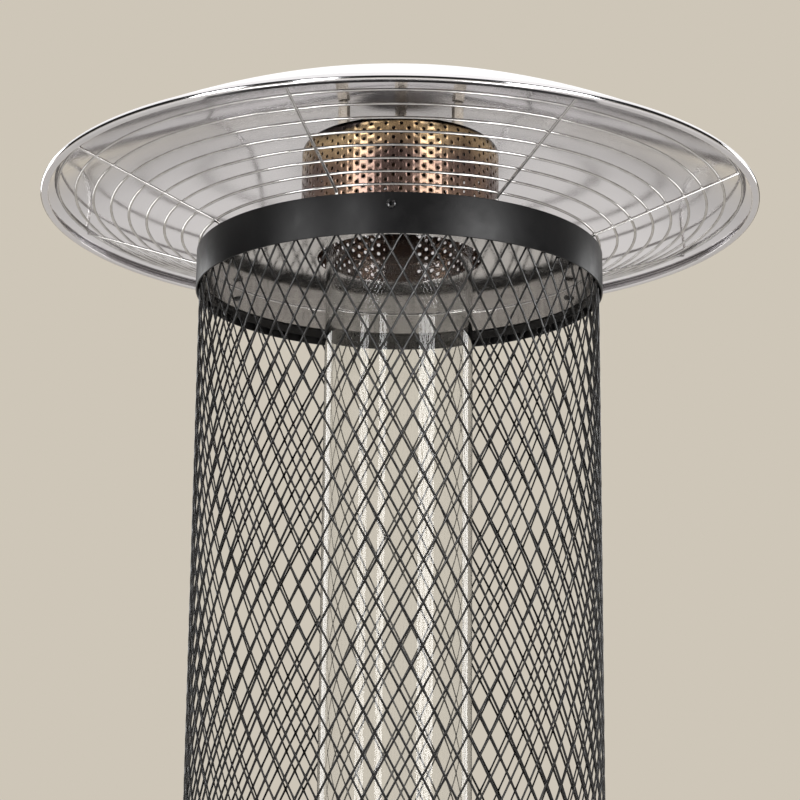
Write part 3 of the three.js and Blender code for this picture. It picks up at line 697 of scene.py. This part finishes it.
# ---- Wire guard under the reflector ----
GUARD_RINGS = 9
GUARD_SPOKES = 8
GUARD_TURN = 27.45
RING_WIRE = 1.0
SPOKE_WIRE = 1.1
GUARD_INNER_R, GUARD_OUTER_R = 150.5, 257.5
GUARD_SLOPE = 0.3495
SPOKE_DROP = 1.2  # the spokes are welded under the rings


def wire_guard():
    low, high = box("grille")

    def height(r):
        return high.z - RING_WIRE - GUARD_SLOPE * (GUARD_OUTER_R - r)

    parts = []
    spacing = (GUARD_OUTER_R - GUARD_INNER_R) / (GUARD_RINGS - 1)
    radii = [GUARD_INNER_R + spacing * i for i in range(GUARD_RINGS)]
    for r in radii:
        parts.append(revolve(arc_points((r, height(r)), RING_WIRE, 0, 360, 12)[:-1], 240))
    # Each spoke's inner end is bent down onto the top plate.
    near, far = GUARD_INNER_R - 3.5, GUARD_OUTER_R + 0.8
    line = [(0, -near, low.z + 0.4), (0, -near, height(near) - SPOKE_DROP - 1.8),
            (0, -near - 0.4, height(near) - SPOKE_DROP - 0.7),
            (0, -near - 1.6, height(near + 1.6) - SPOKE_DROP)]
    line += [(0, -r, height(r) - SPOKE_DROP) for r in ((near + far) / 2, far)]
    spoke = [sweep(line, SPOKE_WIRE, 14)]
    spoke += [shifted(weld_nugget(), 0, -r, height(r) - SPOKE_DROP * 0.55) for r in radii]
    parts += around_axis(turned_to(GUARD_TURN, merge(*spoke)), GUARD_SPOKES)
    add("wire_guard", merge(*parts), "bright_wire", ["grille"], smooth=60)


def weld_nugget():
    """The squeezed metal where two wires are spot-welded: wider than it is tall."""
    profile = [(0, -0.75), (0.9, -0.6), (1.5, -0.15), (1.5, 0.25), (0.9, 0.65), (0, 0.75)]
    return revolve(profile, 12)


# ---- Emitter: perforated can ----
EMITTER_COLUMNS = 84
EMITTER_TURN = 0.3  # azimuth of the first column of holes
SEAM_COLUMNS = (41, 42, 43)  # left plain, where the sheet's ends overlap at the back
HOLE_R = 1.45
HOLE_PITCH = 7.2
CELLS = 11  # cells of one column; the columns between are half a pitch higher and one cell shorter
PERFORATION_LOW = 3.4
EMITTER_WALL = 0.8
EMITTER_ROUND = 5.0


def emitter():
    low, high = box("emitter")
    foot_r, foot = high.x, low.z + 1.0
    radius = foot_r - 6
    straight = high.z - EMITTER_ROUND - foot

    def place(column, s):
        """A point of the can: column round it, and s along its profile from the foot upwards."""
        angle = TAU * column / EMITTER_COLUMNS + math.radians(EMITTER_TURN)
        if s <= straight:
            r, z = radius, foot + s
        else:
            bend = min((s - straight) / EMITTER_ROUND, math.pi / 2)
            r = radius - EMITTER_ROUND + EMITTER_ROUND * math.cos(bend)
            z = high.z - EMITTER_ROUND + EMITTER_ROUND * math.sin(bend)
        return r * math.sin(angle), -r * math.cos(angle), z

    verts, faces, known = [], [], {}

    def corner(quarter, step):
        """Shared grid vertex: quarter columns round, and quarter pitches up from PERFORATION_LOW."""
        key = quarter % (4 * EMITTER_COLUMNS), step
        if key not in known:
            known[key] = len(verts)
            verts.append(place(key[0] / 4, PERFORATION_LOW + step * HOLE_PITCH / 4))
        return known[key]

    def plain(column, step):
        for i in range(4):
            q = 4 * column + i - 2
            faces.append([corner(q, step), corner(q + 1, step), corner(q + 1, step + 1),
                          corner(q, step + 1)])

    def pierced(column, step):
        left, middle = 4 * column - 2, step + 2
        border = [(left + i, step) for i in range(4)] + [(left + 4, step + i) for i in range(4)]
        border += [(left + 4 - i, step + 4) for i in range(4)] + [(left, step + 4 - i) for i in range(4)]
        base = len(verts)
        s = PERFORATION_LOW + middle * HOLE_PITCH / 4
        width = TAU * radius / EMITTER_COLUMNS
        for i in range(16):
            angle = TAU * i / 16 - math.radians(135)
            verts.append(place(column + HOLE_R * math.cos(angle) / width, s + HOLE_R * math.sin(angle)))
        rim = [corner(*key) for key in border]
        for i in range(16):
            j = (i + 1) % 16
            faces.append([rim[i], rim[j], base + j, base + i])

    last = 4 * CELLS
    for column in range(EMITTER_COLUMNS):
        offset = 2 * (column % 2)
        holes = [] if column in SEAM_COLUMNS else range(offset, last - 2 * offset, 4)
        for step in holes:
            pierced(column, step)
        for step in range(last):
            if not any(hole <= step < hole + 4 for hole in holes):
                plain(column, step)
    end = straight + EMITTER_ROUND * math.pi / 2
    top_s = PERFORATION_LOW + last * HOLE_PITCH / 4
    quarters = 4 * EMITTER_COLUMNS

    def ring_at(points):
        base = len(verts)
        verts.extend(points)
        return [base + i for i in range(quarters)]

    def polar_ring(r, z):
        angles = [TAU * q / quarters + math.radians(EMITTER_TURN) for q in range(quarters)]
        return ring_at([(r * math.sin(a), -r * math.cos(a), z) for a in angles])

    upward = [[corner(q, last) for q in range(quarters)]]
    for k in range(1, 5):
        s = top_s + (end - top_s) * k / 4
        upward.append(ring_at([place(q / 4, s) for q in range(quarters)]))
    flat = radius - EMITTER_ROUND
    # The top is dished a little inside its rounded edge.
    dish = high.z - 0.6
    for r, z in ((flat * 0.9, high.z), (flat * 0.86, dish), (flat * 0.3, dish), (4, dish)):
        upward.append(polar_ring(r, z))
    faces.append(upward[-1])
    downward = [polar_ring(foot_r, foot), polar_ring(radius + 1.2, foot),
                polar_ring(radius + 0.35, foot + 0.35), [corner(q, 0) for q in range(quarters)]]
    for rings in (upward, downward):
        for a, b in zip(rings, rings[1:]):
            for i in range(quarters):
                j = (i + 1) % quarters
                faces.append([a[i], a[j], b[j], b[i]])
    add("emitter_can", (verts, faces), "tinted_steel", ["emitter"], smooth=50, wall=EMITTER_WALL)
    span = (foot + 1.5, high.z - EMITTER_ROUND - 1)
    strap = curved_plate(radius - EMITTER_WALL - 0.1, 0.6, (170.5, 189.5), span, 1.0, bevel=0.15, step=1.5)
    lap = curved_plate(radius + 0.45, 0.5, (172.5, 188), span, 1.0, bevel=0.15, step=1.5)
    spots = [rivet(azimuth, z, radius + 0.3, 1.3) for azimuth in (175, 185.5)
             for z in (foot + 10, foot + 30, foot + 50, foot + 70)]
    add("emitter_seam", merge(strap, lap, *spots), "tinted_steel")


# ---- Cage: mesh sleeve, bands, plates, screws, glass and its seat ----
MESH_AROUND = 60
MESH_PITCH = 28.77
MESH_NODE_Z = 1012.6  # height of one row of crossings, at MESH_TURN
MESH_TURN = 3.9
STRAND_WIDE = 1.55
STRAND_THICK = 1.15
STRAND_OVERLAP = 0.03  # how far a strand runs on past a crossing, as a share of its rise
STRAND_TWIST, JOINT_TWIST = 34, 8  # degrees, halfway between two crossings and at a crossing
BOTTOM_PLATE_HOLE_R, TOP_PLATE_HOLE_R = 14.0, 62.0


def cage_sleeve():
    low, high = box("cage_mesh")
    middle_r = high.x - STRAND_THICK / 2 - 0.35
    strip = 6.0
    mesh_low, mesh_high = low.z + strip - 1, high.z - strip + 1
    half_row, half_column = MESH_PITCH / 2, 180 / MESH_AROUND
    first = math.floor((mesh_low - MESH_NODE_Z) / half_row)
    last = math.ceil((mesh_high - MESH_NODE_Z) / half_row)
    parts = []
    for row in range(first, last):
        z0 = MESH_NODE_Z + row * half_row
        for column in range(MESH_AROUND):
            azimuth = MESH_TURN + 2 * half_column * column + (row % 2) * half_column
            for lean in (-1, 1):
                parts.append(strand(azimuth, azimuth + lean * half_column, z0, half_row, middle_r,
                                    mesh_low, mesh_high, lean))
    for z in (low.z, high.z - strip):
        parts.append(lathe(section(high.x - 1.4, high.x, z, z + strip), 0.3, 240, 2))
    add("cage_sleeve", merge(*parts), "mesh_coat", ["cage_mesh"], smooth=60)


def strand(start_az, end_az, z0, rise, radius, low, high, lean):
    """One strand of expanded metal: a ribbon twisted out of the sheet, wider where it joins."""
    from_t = max(0.0, (low - z0) / rise)
    to_t = min(1.0, (high - z0) / rise)
    if from_t >= to_t:
        return [], []
    from_t, to_t = from_t - STRAND_OVERLAP, to_t + STRAND_OVERLAP
    steps = 4
    slant = math.atan2(math.radians(end_az - start_az) * radius, rise)
    # The ribbon's corners are cut off; both numbers are shares of half its width and thickness.
    corners = [(1, 0.45), (0.62, 1), (-0.62, 1), (-1, 0.45), (-1, -0.45), (-0.62, -1), (0.62, -1),
               (1, -0.45)]
    rings = []
    for k in range(steps + 1):
        t = from_t + (to_t - from_t) * k / steps
        angle = math.radians(start_az + (end_az - start_az) * t)
        outward = Vector((math.sin(angle), -math.cos(angle), 0))
        around = Vector((math.cos(angle), math.sin(angle), 0))
        along = (around * math.sin(slant) + Vector((0, 0, 1)) * math.cos(slant)).normalized()
        across = outward.cross(along).normalized()
        mid = 1 - abs(2 * min(max(t, 0), 1) - 1)
        twist = JOINT_TWIST + (STRAND_TWIST - JOINT_TWIST) * min(1, 2.2 * mid)
        twist = math.radians(twist) * lean
        wide_dir = across * math.cos(twist) + outward * math.sin(twist)
        thick_dir = outward * math.cos(twist) - across * math.sin(twist)
        wide = STRAND_WIDE * (1.22 - 0.22 * min(1, 3 * mid)) / 2
        thick = STRAND_THICK / 2 * 0.92
        centre = outward * radius + Vector((0, 0, z0 + rise * t))
        rings.append([centre + wide_dir * wide * a + thick_dir * thick * b for a, b in corners])
    return loft(rings)


def band(name, node):
    low, high = box(node)
    wall = 1.2
    ring = lathe(section(high.x - wall, high.x, low.z, high.z), 0.45, 288, 4)
    # The ends of the strip overlap at the back.
    lap = curved_plate(high.x - wall - 0.05, 0.9, (176, 184), (low.z + 1, high.z - 1), 1.5, step=1.0)
    add(name, merge(ring, lap), "black_coat", [node])


def cage_plate(name, node, turned_up):
    """An annular plate with a bent flange; turned_up says which way the flange goes."""
    low, high = box(node)
    edge = high.x
    wall = 1.0
    bend = 2.4
    sign = 1 if turned_up else -1
    face, far = (low.z, high.z) if turned_up else (high.z, low.z)
    hole = BOTTOM_PLATE_HOLE_R if turned_up else TOP_PLATE_HOLE_R
    centre = (edge - bend, face + sign * bend)
    outer = arc_points(centre, bend, -90 * sign, 0, 8)
    inner = arc_points(centre, bend - wall, 0, -90 * sign, 8)
    outline = [(hole, face), *outer, (edge, far), (edge - wall, far), *inner, (hole, face + sign * wall)]
    shape = revolve(outline, 240)
    if turned_up:
        drill = shifted(revolve(section(0, 5, face - 5, face + 5), 24), 0, -32, 0)
        tools = around_axis(turned_to(22.5, drill), 8)
        tools.append(brick((-12, -50, face - 5), (12, -43.2, face + 5), 1.5))
        shape = carve(shape, *tools)
    add(name, shape, "mirror_steel", [node])


def pan_head(radius, height):
    """A pan-head screw with a cross recess, its head up, its bearing face at z = 0."""
    outline = [(0, -6), (1.6, -6), (1.9, -5.4), (1.9, 0), (radius * 0.97, 0), (radius, 0.35),
               (radius * 0.98, 0.9), (radius * 0.86, height * 0.78), (radius * 0.6, height * 0.96),
               (0, height)]
    shape = revolve(outline, 36)
    reach, half, floor_z = 1.9, 0.45, height - 1.1
    for x0, x1, y in ((-half, half, reach), (-reach, -half - 0.01, half), (half + 0.01, reach, half)):
        shape = carve(shape, brick((x0, -y, floor_z), (x1, y, height + 1), 0.1, 1))
    return shape


def cage_screws():
    shape = facing_front(pan_head(3.65, 2.2))
    for level in ("bottom", "top"):
        for number in (1, 2, 3):
            node = f"{level}_screw_{number}"
            middle = middle_of(node)
            band_r = box(f"{level}_band")[1].x
            azimuth = math.degrees(math.atan2(middle.x, -middle.y))
            placed = turned_to(azimuth, shifted(shape, 0, -band_r - 0.05, middle.z))
            add(f"cage_screw_{level}_{number}", placed, "black_screw", [node])


def glass():
    low, high = box("glass_tube")
    r, wall = high.x, 2.8
    tube = lathe(section(r - wall, r, low.z, high.z), 0.9, 192, 4)
    add("flame_tube", tube, "flame_glass", ["glass_tube"])
    low, high = box("glass_seat")
    inner, outer = 50.6, high.x
    groove = low.z + 3
    outline = [(inner, low.z), (outer, low.z), (outer, high.z), (r + 0.5, high.z), (r + 0.5, groove),
               (r - wall - 0.3, groove), (r - wall - 0.3, low.z + 9), (inner, low.z + 9)]
    add("flame_tube_seat", lathe(outline, 0.5, 160, 3), "satin_steel", ["glass_seat"])


# ---- Burner and pilot ----
def burner():
    low, high = box("burner_head")
    r, wall = high.x, 1.2
    outline = [(0, high.z - wall), (r - 3.7, high.z - wall), (r - wall, high.z - 4),
               (r - wall, low.z + wall), (14, low.z + wall), (14, low.z), (r, low.z), (r, high.z - 3.5),
               (r - 3, high.z), (0, high.z)]
    head = lathe(outline, 0.8, 120, 3)
    port = facing_front(revolve(section(0, 1.3, r - 4, r + 4), 10))
    cutters = around_axis(shifted(port, z=low.z + 9), 36)
    cutters += around_axis(turned_to(5, shifted(port, z=low.z + 15)), 36)
    cutters += around_axis(brick((-1.1, -36, high.z - 4), (1.1, -14, high.z + 3), 0.6, 2), 12)
    add("burner_cap", carve(head, *cutters), "satin_steel", ["burner_head"])
    low, high = box("mixing_tube")
    throat, collar = 580, high.z - 4.7
    outline = [(12, throat - 2), (17.6, low.z), (19, low.z + 1), (13.4, throat), (13.4, collar),
               (high.x, collar), (high.x, high.z), (12, high.z)]
    add("mixing_venturi", lathe(outline, 0.6, 80, 3), "satin_steel", ["mixing_tube"])
    for node, slot, bevel in (
        ("pilot_burner", "brass", 0.15), ("thermocouple", "zinc_steel", 0.15),
        ("spark_electrode", "ceramic", 0.15), ("spark_lead", "black_plastic", 0.15),
        ("burner_pipe", "cast_aluminium", 0.15), ("gas_jet", "brass", 0.4),
    ):
        refine(node, slot, bevel, smooth=65)


# ---- Cabinet ----
CABINET_R = 158.0
CABINET_WALL = 1.2
SEAM_AZIMUTH = -120
VENT_AZIMUTHS = (156, 168, 180, 192, 204)
VENT_ROWS = ((76, 136), (500, 560))
VENT_WIDE = 8
DOORWAY_HALF = 53.1
DOORWAY_Z = (60.5, 531.5)
WINDOW_HALF = 18  # degrees, of the opening behind the control panel
WINDOW_Z = (552, 598)


def cabinet_shell():
    low, high = box("cabinet_shell")
    middle = SEAM_AZIMUTH + 180

    def along(azimuth):
        return math.radians(azimuth - middle) * CABINET_R

    half = math.pi * CABINET_R - 0.15
    outline = section(-half, half, low.z, high.z)
    holes = [rounded_rect(along(-DOORWAY_HALF), along(DOORWAY_HALF), *DOORWAY_Z, 13)]
    holes.append(rounded_rect(along(-WINDOW_HALF), along(WINDOW_HALF), *WINDOW_Z, 4))
    for row in VENT_ROWS:
        for x in [along(azimuth) for azimuth in VENT_AZIMUTHS]:
            holes.append(rounded_rect(x - VENT_WIDE / 2, x + VENT_WIDE / 2, *row, 3.9))
    shell = wrapped(flat_sheet(outline, holes, CABINET_WALL, 0.3), CABINET_R, middle, 2.0)
    strap = curved_plate(CABINET_R - CABINET_WALL - 0.05, 0.9, (SEAM_AZIMUTH - 4, SEAM_AZIMUTH + 4),
                         (low.z + 2, high.z - 2), 2)
    add("cabinet_wall", merge(shell, strap), "black_coat", ["cabinet_shell"])


def rivet(azimuth, z, radius, size):
    """A low domed rivet head on a round wall."""
    outline = [(0, -0.6), (size * 0.9, -0.6), (size, 0), (size * 0.93, 0.35), (size * 0.6, 0.85), (0, 1.05)]
    return turned_to(azimuth, shifted(facing_front(revolve(outline, 20)), 0, -radius, z))


HINGE_R = 163.6
HINGE_AZIMUTH = -52.5
KNUCKLE_R = 5.0


def at_hinge(shape):
    return turned_to(HINGE_AZIMUTH, shifted(shape, 0, -HINGE_R, 0))


def knuckle(low, high, bore):
    return at_hinge(lathe(section(bore, KNUCKLE_R, low, high), 0.35, 40, 2))


def hinge_heights():
    """Where a door eye rests on its bracket: the top of each bracket."""
    return [box(f"hinge_bracket_{word}")[1].z for word in ("lower", "upper")]


STRAP_OUT = 2.4  # how far the outside of a hinge strap stands off the cabinet
DOOR_HALF = 52  # degrees
PULL_AZIMUTH = 41.0
PULL_OUT = 27  # from the cabinet's wall to the middle of the pull's bar
PULL_ARM = 56  # from the middle of the bar to each arm


def door():
    low, high = box("door")
    parts = [curved_plate(CABINET_R, CABINET_WALL, (-DOOR_HALF, DOOR_HALF), (low.z, high.z), 12)]
    for z in hinge_heights():
        span = (z + 0.3, z + 13)
        parts.append(curved_plate(CABINET_R + STRAP_OUT, 3.0, (-51.5, -43), span, 2.5, bevel=0.5))
        web = brick((1, -CABINET_R - 2.6, span[0]), (8, -CABINET_R - 0.6, span[1]), 0.4)
        parts += [turned_to(HINGE_AZIMUTH, web), knuckle(*span, 3.0)]
        parts += [rivet(azimuth, z + 6.6, CABINET_R + STRAP_OUT, 1.9) for azimuth in (-48.6, -45.4)]
    # A folded stiffening edge behind the free side.
    parts.append(curved_plate(CABINET_R - CABINET_WALL, 0.8, (44.5, 51.2), (low.z + 14, high.z - 14), 1.5))
    add("cabinet_door", merge(*parts), "black_coat", ["door"], body="door")

    low, high = box("door_pull")
    middle = middle_of("door_pull")
    reach = CABINET_R + PULL_OUT
    bar = [(0, low.z), (3.6, low.z), (5, low.z + 1.6), (5, high.z - 1.6), (3.6, high.z), (0, high.z)]
    pull = [shifted(lathe(bar, 1.2, 40, 3), 0, -reach, 0)]
    for z in (middle.z - PULL_ARM, middle.z + PULL_ARM):
        arm = [(0, CABINET_R + 0.3), (7, CABINET_R + 0.3), (7, CABINET_R + 1.8), (4, CABINET_R + 3.2),
               (4, reach), (0, reach)]
        pull.append(shifted(facing_front(lathe(arm, 0.8, 32, 3)), 0, 0, z))
    add("door_pull_bar", turned_to(PULL_AZIMUTH, merge(*pull)), "satin_steel", ["door_pull"], body="door")


def hinges():
    for word, z in zip(("lower", "upper"), hinge_heights()):
        span = (z - 13, z)
        leaf = curved_plate(CABINET_R + 2.5, 2.0, (-64, -53.1), span, 2.5, bevel=0.5)
        heads = [rivet(azimuth, z - 6.5, CABINET_R + 2.5, 1.9) for azimuth in (-61.4, -58.0)]
        add(f"hinge_leaf_{word}", merge(leaf, knuckle(*span, 2.8), *heads), "black_coat",
            [f"hinge_bracket_{word}"])
        low, high = box(f"hinge_pin_{word}")
        pin = [(0, low.z), (2.0, low.z), (2.5, low.z + 0.6), (2.5, high.z - 2.7), (4.2, high.z - 2.7),
               (4.2, high.z - 1.2), (2.8, high.z), (0, high.z)]
        add(f"hinge_rod_{word}", at_hinge(lathe(pin, 0.4, 32, 3)), "zinc_steel", [f"hinge_pin_{word}"])


def cabinet_lid():
    low, high = box("cabinet_lid")
    wall = CABINET_WALL
    outer = high.x
    bend = 3.0
    centre = (outer - bend, high.z - bend)
    outline = [(100, high.z - wall), *arc_points(centre, bend - wall, 90, 0, 5), (outer - wall, low.z),
               (outer, low.z), *arc_points(centre, bend, 0, 90, 6), (100, high.z)]
    add("cabinet_cap", revolve(outline, 240), "black_coat", ["cabinet_lid"])


# ---- Base: pan, feet, bottle ring, wheels ----
def base():
    low, high = box("base_pan")
    edge, skirt, wall = high.x, low.z, 1.5
    seat = high.z
    floor = seat - 2
    bend = 6
    centre = (edge - bend, floor - bend)
    outline = [(0, seat - wall), (110, seat - wall), (112, floor - wall)]
    outline += [*arc_points(centre, bend - wall, 90, 0, 5), (edge - wall, skirt + 0.5)]
    outline += [(edge - 1.2, skirt), (edge - 0.5, skirt), (edge, skirt + 0.5)]
    outline += [*arc_points(centre, bend, 0, 90, 8), (114, floor), (113, floor + 0.3)]
    outline += [(112.4, seat - 0.3), (111.4, seat), (0, seat)]
    add("base_tray", revolve(outline, 240), "black_coat", ["base_pan"])
    low, high = box("bottle_ring")
    hoop = lathe(section(high.x - 2, high.x, low.z, high.z), 0.8, 200, 4)
    add("bottle_hoop", hoop, "black_coat", ["bottle_ring"])
    for number in (1, 2, 3, 4):
        middle = middle_of(f"foot_{number}")
        top = box(f"foot_{number}")[1].z
        pad = [(0, 0), (13.2, 0), (14.2, 0.5), (15, 1.2), (15.6, 4), (14.8, 5.2), (14.8, 6.4), (16.6, 8),
               (17.4, 18), (18.8, top - 2), (19, top - 0.6), (18.4, top), (0, top)]
        add(f"foot_pad_{number}", shifted(revolve(pad, 56), middle.x, middle.y, 0), "foot_rubber",
            [f"foot_{number}"])


def wheels():
    for word in ("left", "right"):
        at = middle_of(f"wheel_{word}")
        r = box(f"wheel_{word}")[1].z - at.z
        tyre = [(21.5, 11.4), (25, 12), (28, 10.6), (29.6, 8), (r, 6), (r, 4.2), (r - 0.8, 3.8),
                (r - 0.8, 2.9), (r, 2.5)]
        tyre = [(x, -y) for x, y in tyre] + tyre[::-1]
        hub = [(4.5, 13), (9.5, 13), (10.5, 12), (11.5, 5), (19, 5), (20, 10.5), (21.6, 10.5)]
        hub = [(x, -y) for x, y in hub] + hub[::-1]
        webs = around_axis(brick((9, -1.2, -9.5), (20.5, 1.2, 9.5), 0.5, 2), 6)
        place = Matrix.Translation(at) @ Matrix.Rotation(math.pi / 2, 4, "Y")
        add(f"wheel_tyre_{word}", moved(lathe(tyre, 0.4, 96, 2), place), "wheel_rubber", [f"wheel_{word}"],
            body=f"wheel_{word}")
        add(f"wheel_hub_{word}", moved(merge(lathe(hub, 0.7, 72, 3), *webs), place), "black_plastic",
            body=f"wheel_{word}")
        low, high = box(f"wheel_axle_{word}")
        shank = thread(4.0, low.x, low.x + 9, 1.25)
        rod = lathe(section(0, 3.9, low.x + 8.5, high.x - 3), 0.3, 32, 2)
        head = lathe([(0, high.x - 4), (7.5, high.x - 4), (7.5, high.x - 2), (5.6, high.x - 0.4),
                      (0, high.x)], 0.7, 40, 3)
        nut = hex_bar(7.0, low.x + 1, low.x + 6, 0.8)
        bolt = moved(merge(shank, rod, head, nut),
                     Matrix.Translation((0, at.y, at.z)) @ Matrix.Rotation(math.pi / 2, 4, "Y"))
        add(f"wheel_bolt_{word}", bolt, "zinc_steel", [f"wheel_axle_{word}"])
        refine(f"wheel_bracket_{word}", "black_coat", 0.5)


# ---- Controls ----
CONTROL_Z = 568.0
KNOB_X = -24.0
IGNITER_X = 34.0


def on_panel(shape, x, y=0.0):
    """Turns a shape made along +Z to the front and puts it at x on the controls' line."""
    return shifted(facing_front(shape), x, y, CONTROL_Z)


def control_panel():
    low, high = box("control_panel")
    front = low.y
    half = high.x
    wall = 2.0
    chamfer = 6.5
    corner = [(-half, -132), (-half, front + chamfer), (-half + chamfer, front), (half - chamfer, front),
              (half, front + chamfer), (half, -132)]
    outline = soften(corner, 5.0, 5, closed=False)
    rings = []
    edge = ((0.0, 1.6), (0.5, 0.5), (1.6, 0.0))
    levels = [(low.z + rise, inset) for rise, inset in edge]
    levels += [(high.z - drop, inset) for drop, inset in reversed(edge)]
    for z, inset in levels:
        rings.append([(x * (half - inset) / half, y + inset, z) for x, y in outline])
    shell = loft(rings)
    hollow = brick((wall - half, front + wall, low.z + wall), (half - wall, -100, high.z - wall), 3.0)
    cabinet = revolve(section(0, CABINET_R + 0.6, low.z - 5, high.z + 5), 180)
    holes = [on_panel(revolve(section(0, r, -front - 5, -front + 5), 40), x)
             for r, x in ((7.0, KNOB_X), (9.8, IGNITER_X))]
    shape = carve(carve(carve(shell, hollow), cabinet), *holes)
    add("control_box", shape, "black_coat", ["control_panel"])

    marks = []
    for angle in range(0, 211, 30):
        mark = brick((-0.55, -0.06, 25.2), (0.55, 0.06, 28.4 if angle else 27.0), 0.04, 1)
        marks.append(shifted(moved(mark, Matrix.Rotation(-math.radians(angle), 4, "Y")), KNOB_X,
                             front - 0.08, CONTROL_Z))
    add("knob_scale", merge(*marks), None, material="print")

    # Radius and height over the panel's face.
    bezel = [(9.2, -1), (9.2, 0.9), (10, 1.5), (12.2, 1.3), (12.8, 0.5), (12.8, 0.02), (9.9, 0.02),
             (9.9, -1)]
    add("igniter_bezel", on_panel(revolve(bezel, 56), IGNITER_X, front), "satin_steel")
    screws = [shifted(facing_front(pan_head(2.6, 1.4)), x, front - 0.02, z)
              for x in (-half + 11, half - 11) for z in (low.z + 7, high.z - 7)]
    add("panel_screws", merge(*screws), "black_screw")


def knob():
    low, high = box("control_knob")
    base, tip = -high.y, -low.y
    # Radius and height over the knob's back face.
    skirt = [(3.5, 0), (21.2, 0), (22, 0.8), (22, 3.2), (20.6, 5.2), (17.2, 5.8), (16.8, 6.4),
             (16.0, 11.6), (14.8, 12.6), (0, 12.7), (0, 6), (3.5, 6)]
    body = shifted(revolve(skirt, 120), z=base)
    ribs = around_axis(brick((16.2, -0.55, base + 6.2), (17.3, 0.55, base + 11.4), 0.3, 2), 40)
    rings = []
    for z, wide, tall, corner in (
        (base + 11.5, 5.3, 16.4, 4.2), (base + 14, 4.5, 16.0, 3.8), (tip - 3.2, 3.9, 15.4, 3.4),
        (tip - 1.2, 3.3, 14.6, 2.9), (tip - 0.3, 2.2, 13.2, 2.0),
    ):
        outline = rounded_rect(-wide, wide, -tall, tall, min(corner, wide - 0.05), 6)
        rings.append([(x, y, z) for x, y in outline])
    grip = loft(rings)
    shape = on_panel(merge(body, grip, *ribs), KNOB_X)
    add("knob_cap", shape, "black_plastic", ["control_knob"], body="knob")
    pointer = brick((-0.6, 4.5, tip - 0.4), (0.6, 12.6, tip - 0.05), 0.12, 2)
    add("knob_pointer", on_panel(pointer, KNOB_X), None, body="knob", material="print")


def button():
    low, high = box("igniter_button")
    tip, back = -low.y, -high.y
    outline = [(0, back), (8.8, back), (8.8, tip - 2.4), (8.5, tip - 1.2), (7.6, tip - 0.3), (6.4, tip),
               (5.2, tip - 0.1), (3.0, tip - 0.6), (0, tip - 0.8)]
    add("push_button", on_panel(revolve(outline, 64), IGNITER_X), "button_plastic", ["igniter_button"],
        body="igniter_button")


def small_parts():
    for node, slot, bevel in (
        ("gas_valve", "cast_aluminium", 0.8), ("igniter_body", "black_plastic", 0.5),
        ("gas_inlet", "brass", 0.2), ("tilt_switch", "black_plastic", 0.8),
        ("door_magnet", "black_plastic", 1.0),
    ):
        refine(node, slot, bevel)
    refine("stem_collar", "zinc_steel", 0.4, body="plunger")
    refine("valve_stem", "zinc_steel", 0.4, body="knob")


def floor():
    """A pale floor that turns into the backdrop far from the object."""
    surface = Surface("studio_floor")
    surface.colour(surface.ramp(surface.noise(0.8), (0.3, (0.600, 0.584, 0.568)),
                                (0.7, (0.620, 0.604, 0.588))))
    surface.roughness(surface.spread(surface.noise(1.7), 0.55, 0.65))
    distance = surface.node("ShaderNodeVectorMath")
    distance.operation = "LENGTH"
    surface.links.new(surface.position, distance.inputs[0])
    far = surface.spread(distance.outputs["Value"], 0.0, 1.0, 2.6, 8.0)
    glow = surface.node("ShaderNodeEmission", Color=(*BACKDROP, 1))
    mix = surface.node("ShaderNodeMixShader")
    for socket, value in zip(mix.inputs, (far, surface.shader.outputs[0], glow.outputs[0])):
        surface.links.new(value, socket)
    surface.links.new(mix.outputs[0], surface.nodes["Material Output"].inputs["Surface"])
    half = 60
    mesh = bpy.data.meshes.new("floor")
    mesh.from_pydata([(x, y, 0) for x, y in section(-half, half, -half, half)], [], [(0, 1, 2, 3)])
    mesh.materials.append(surface.material)
    new_object("floor", mesh)


make_camera()
make_studio()
floor()
reflector()
posts()
wire_guard()
emitter()
cage_sleeve()
band("upper_band", "top_band")
band("lower_band", "bottom_band")
cage_plate("upper_plate", "top_plate", False)
cage_plate("lower_plate", "bottom_plate", True)
cage_screws()
glass()
burner()
cabinet_shell()
door()
hinges()
cabinet_lid()
base()
wheels()
control_panel()
knob()
button()
small_parts()
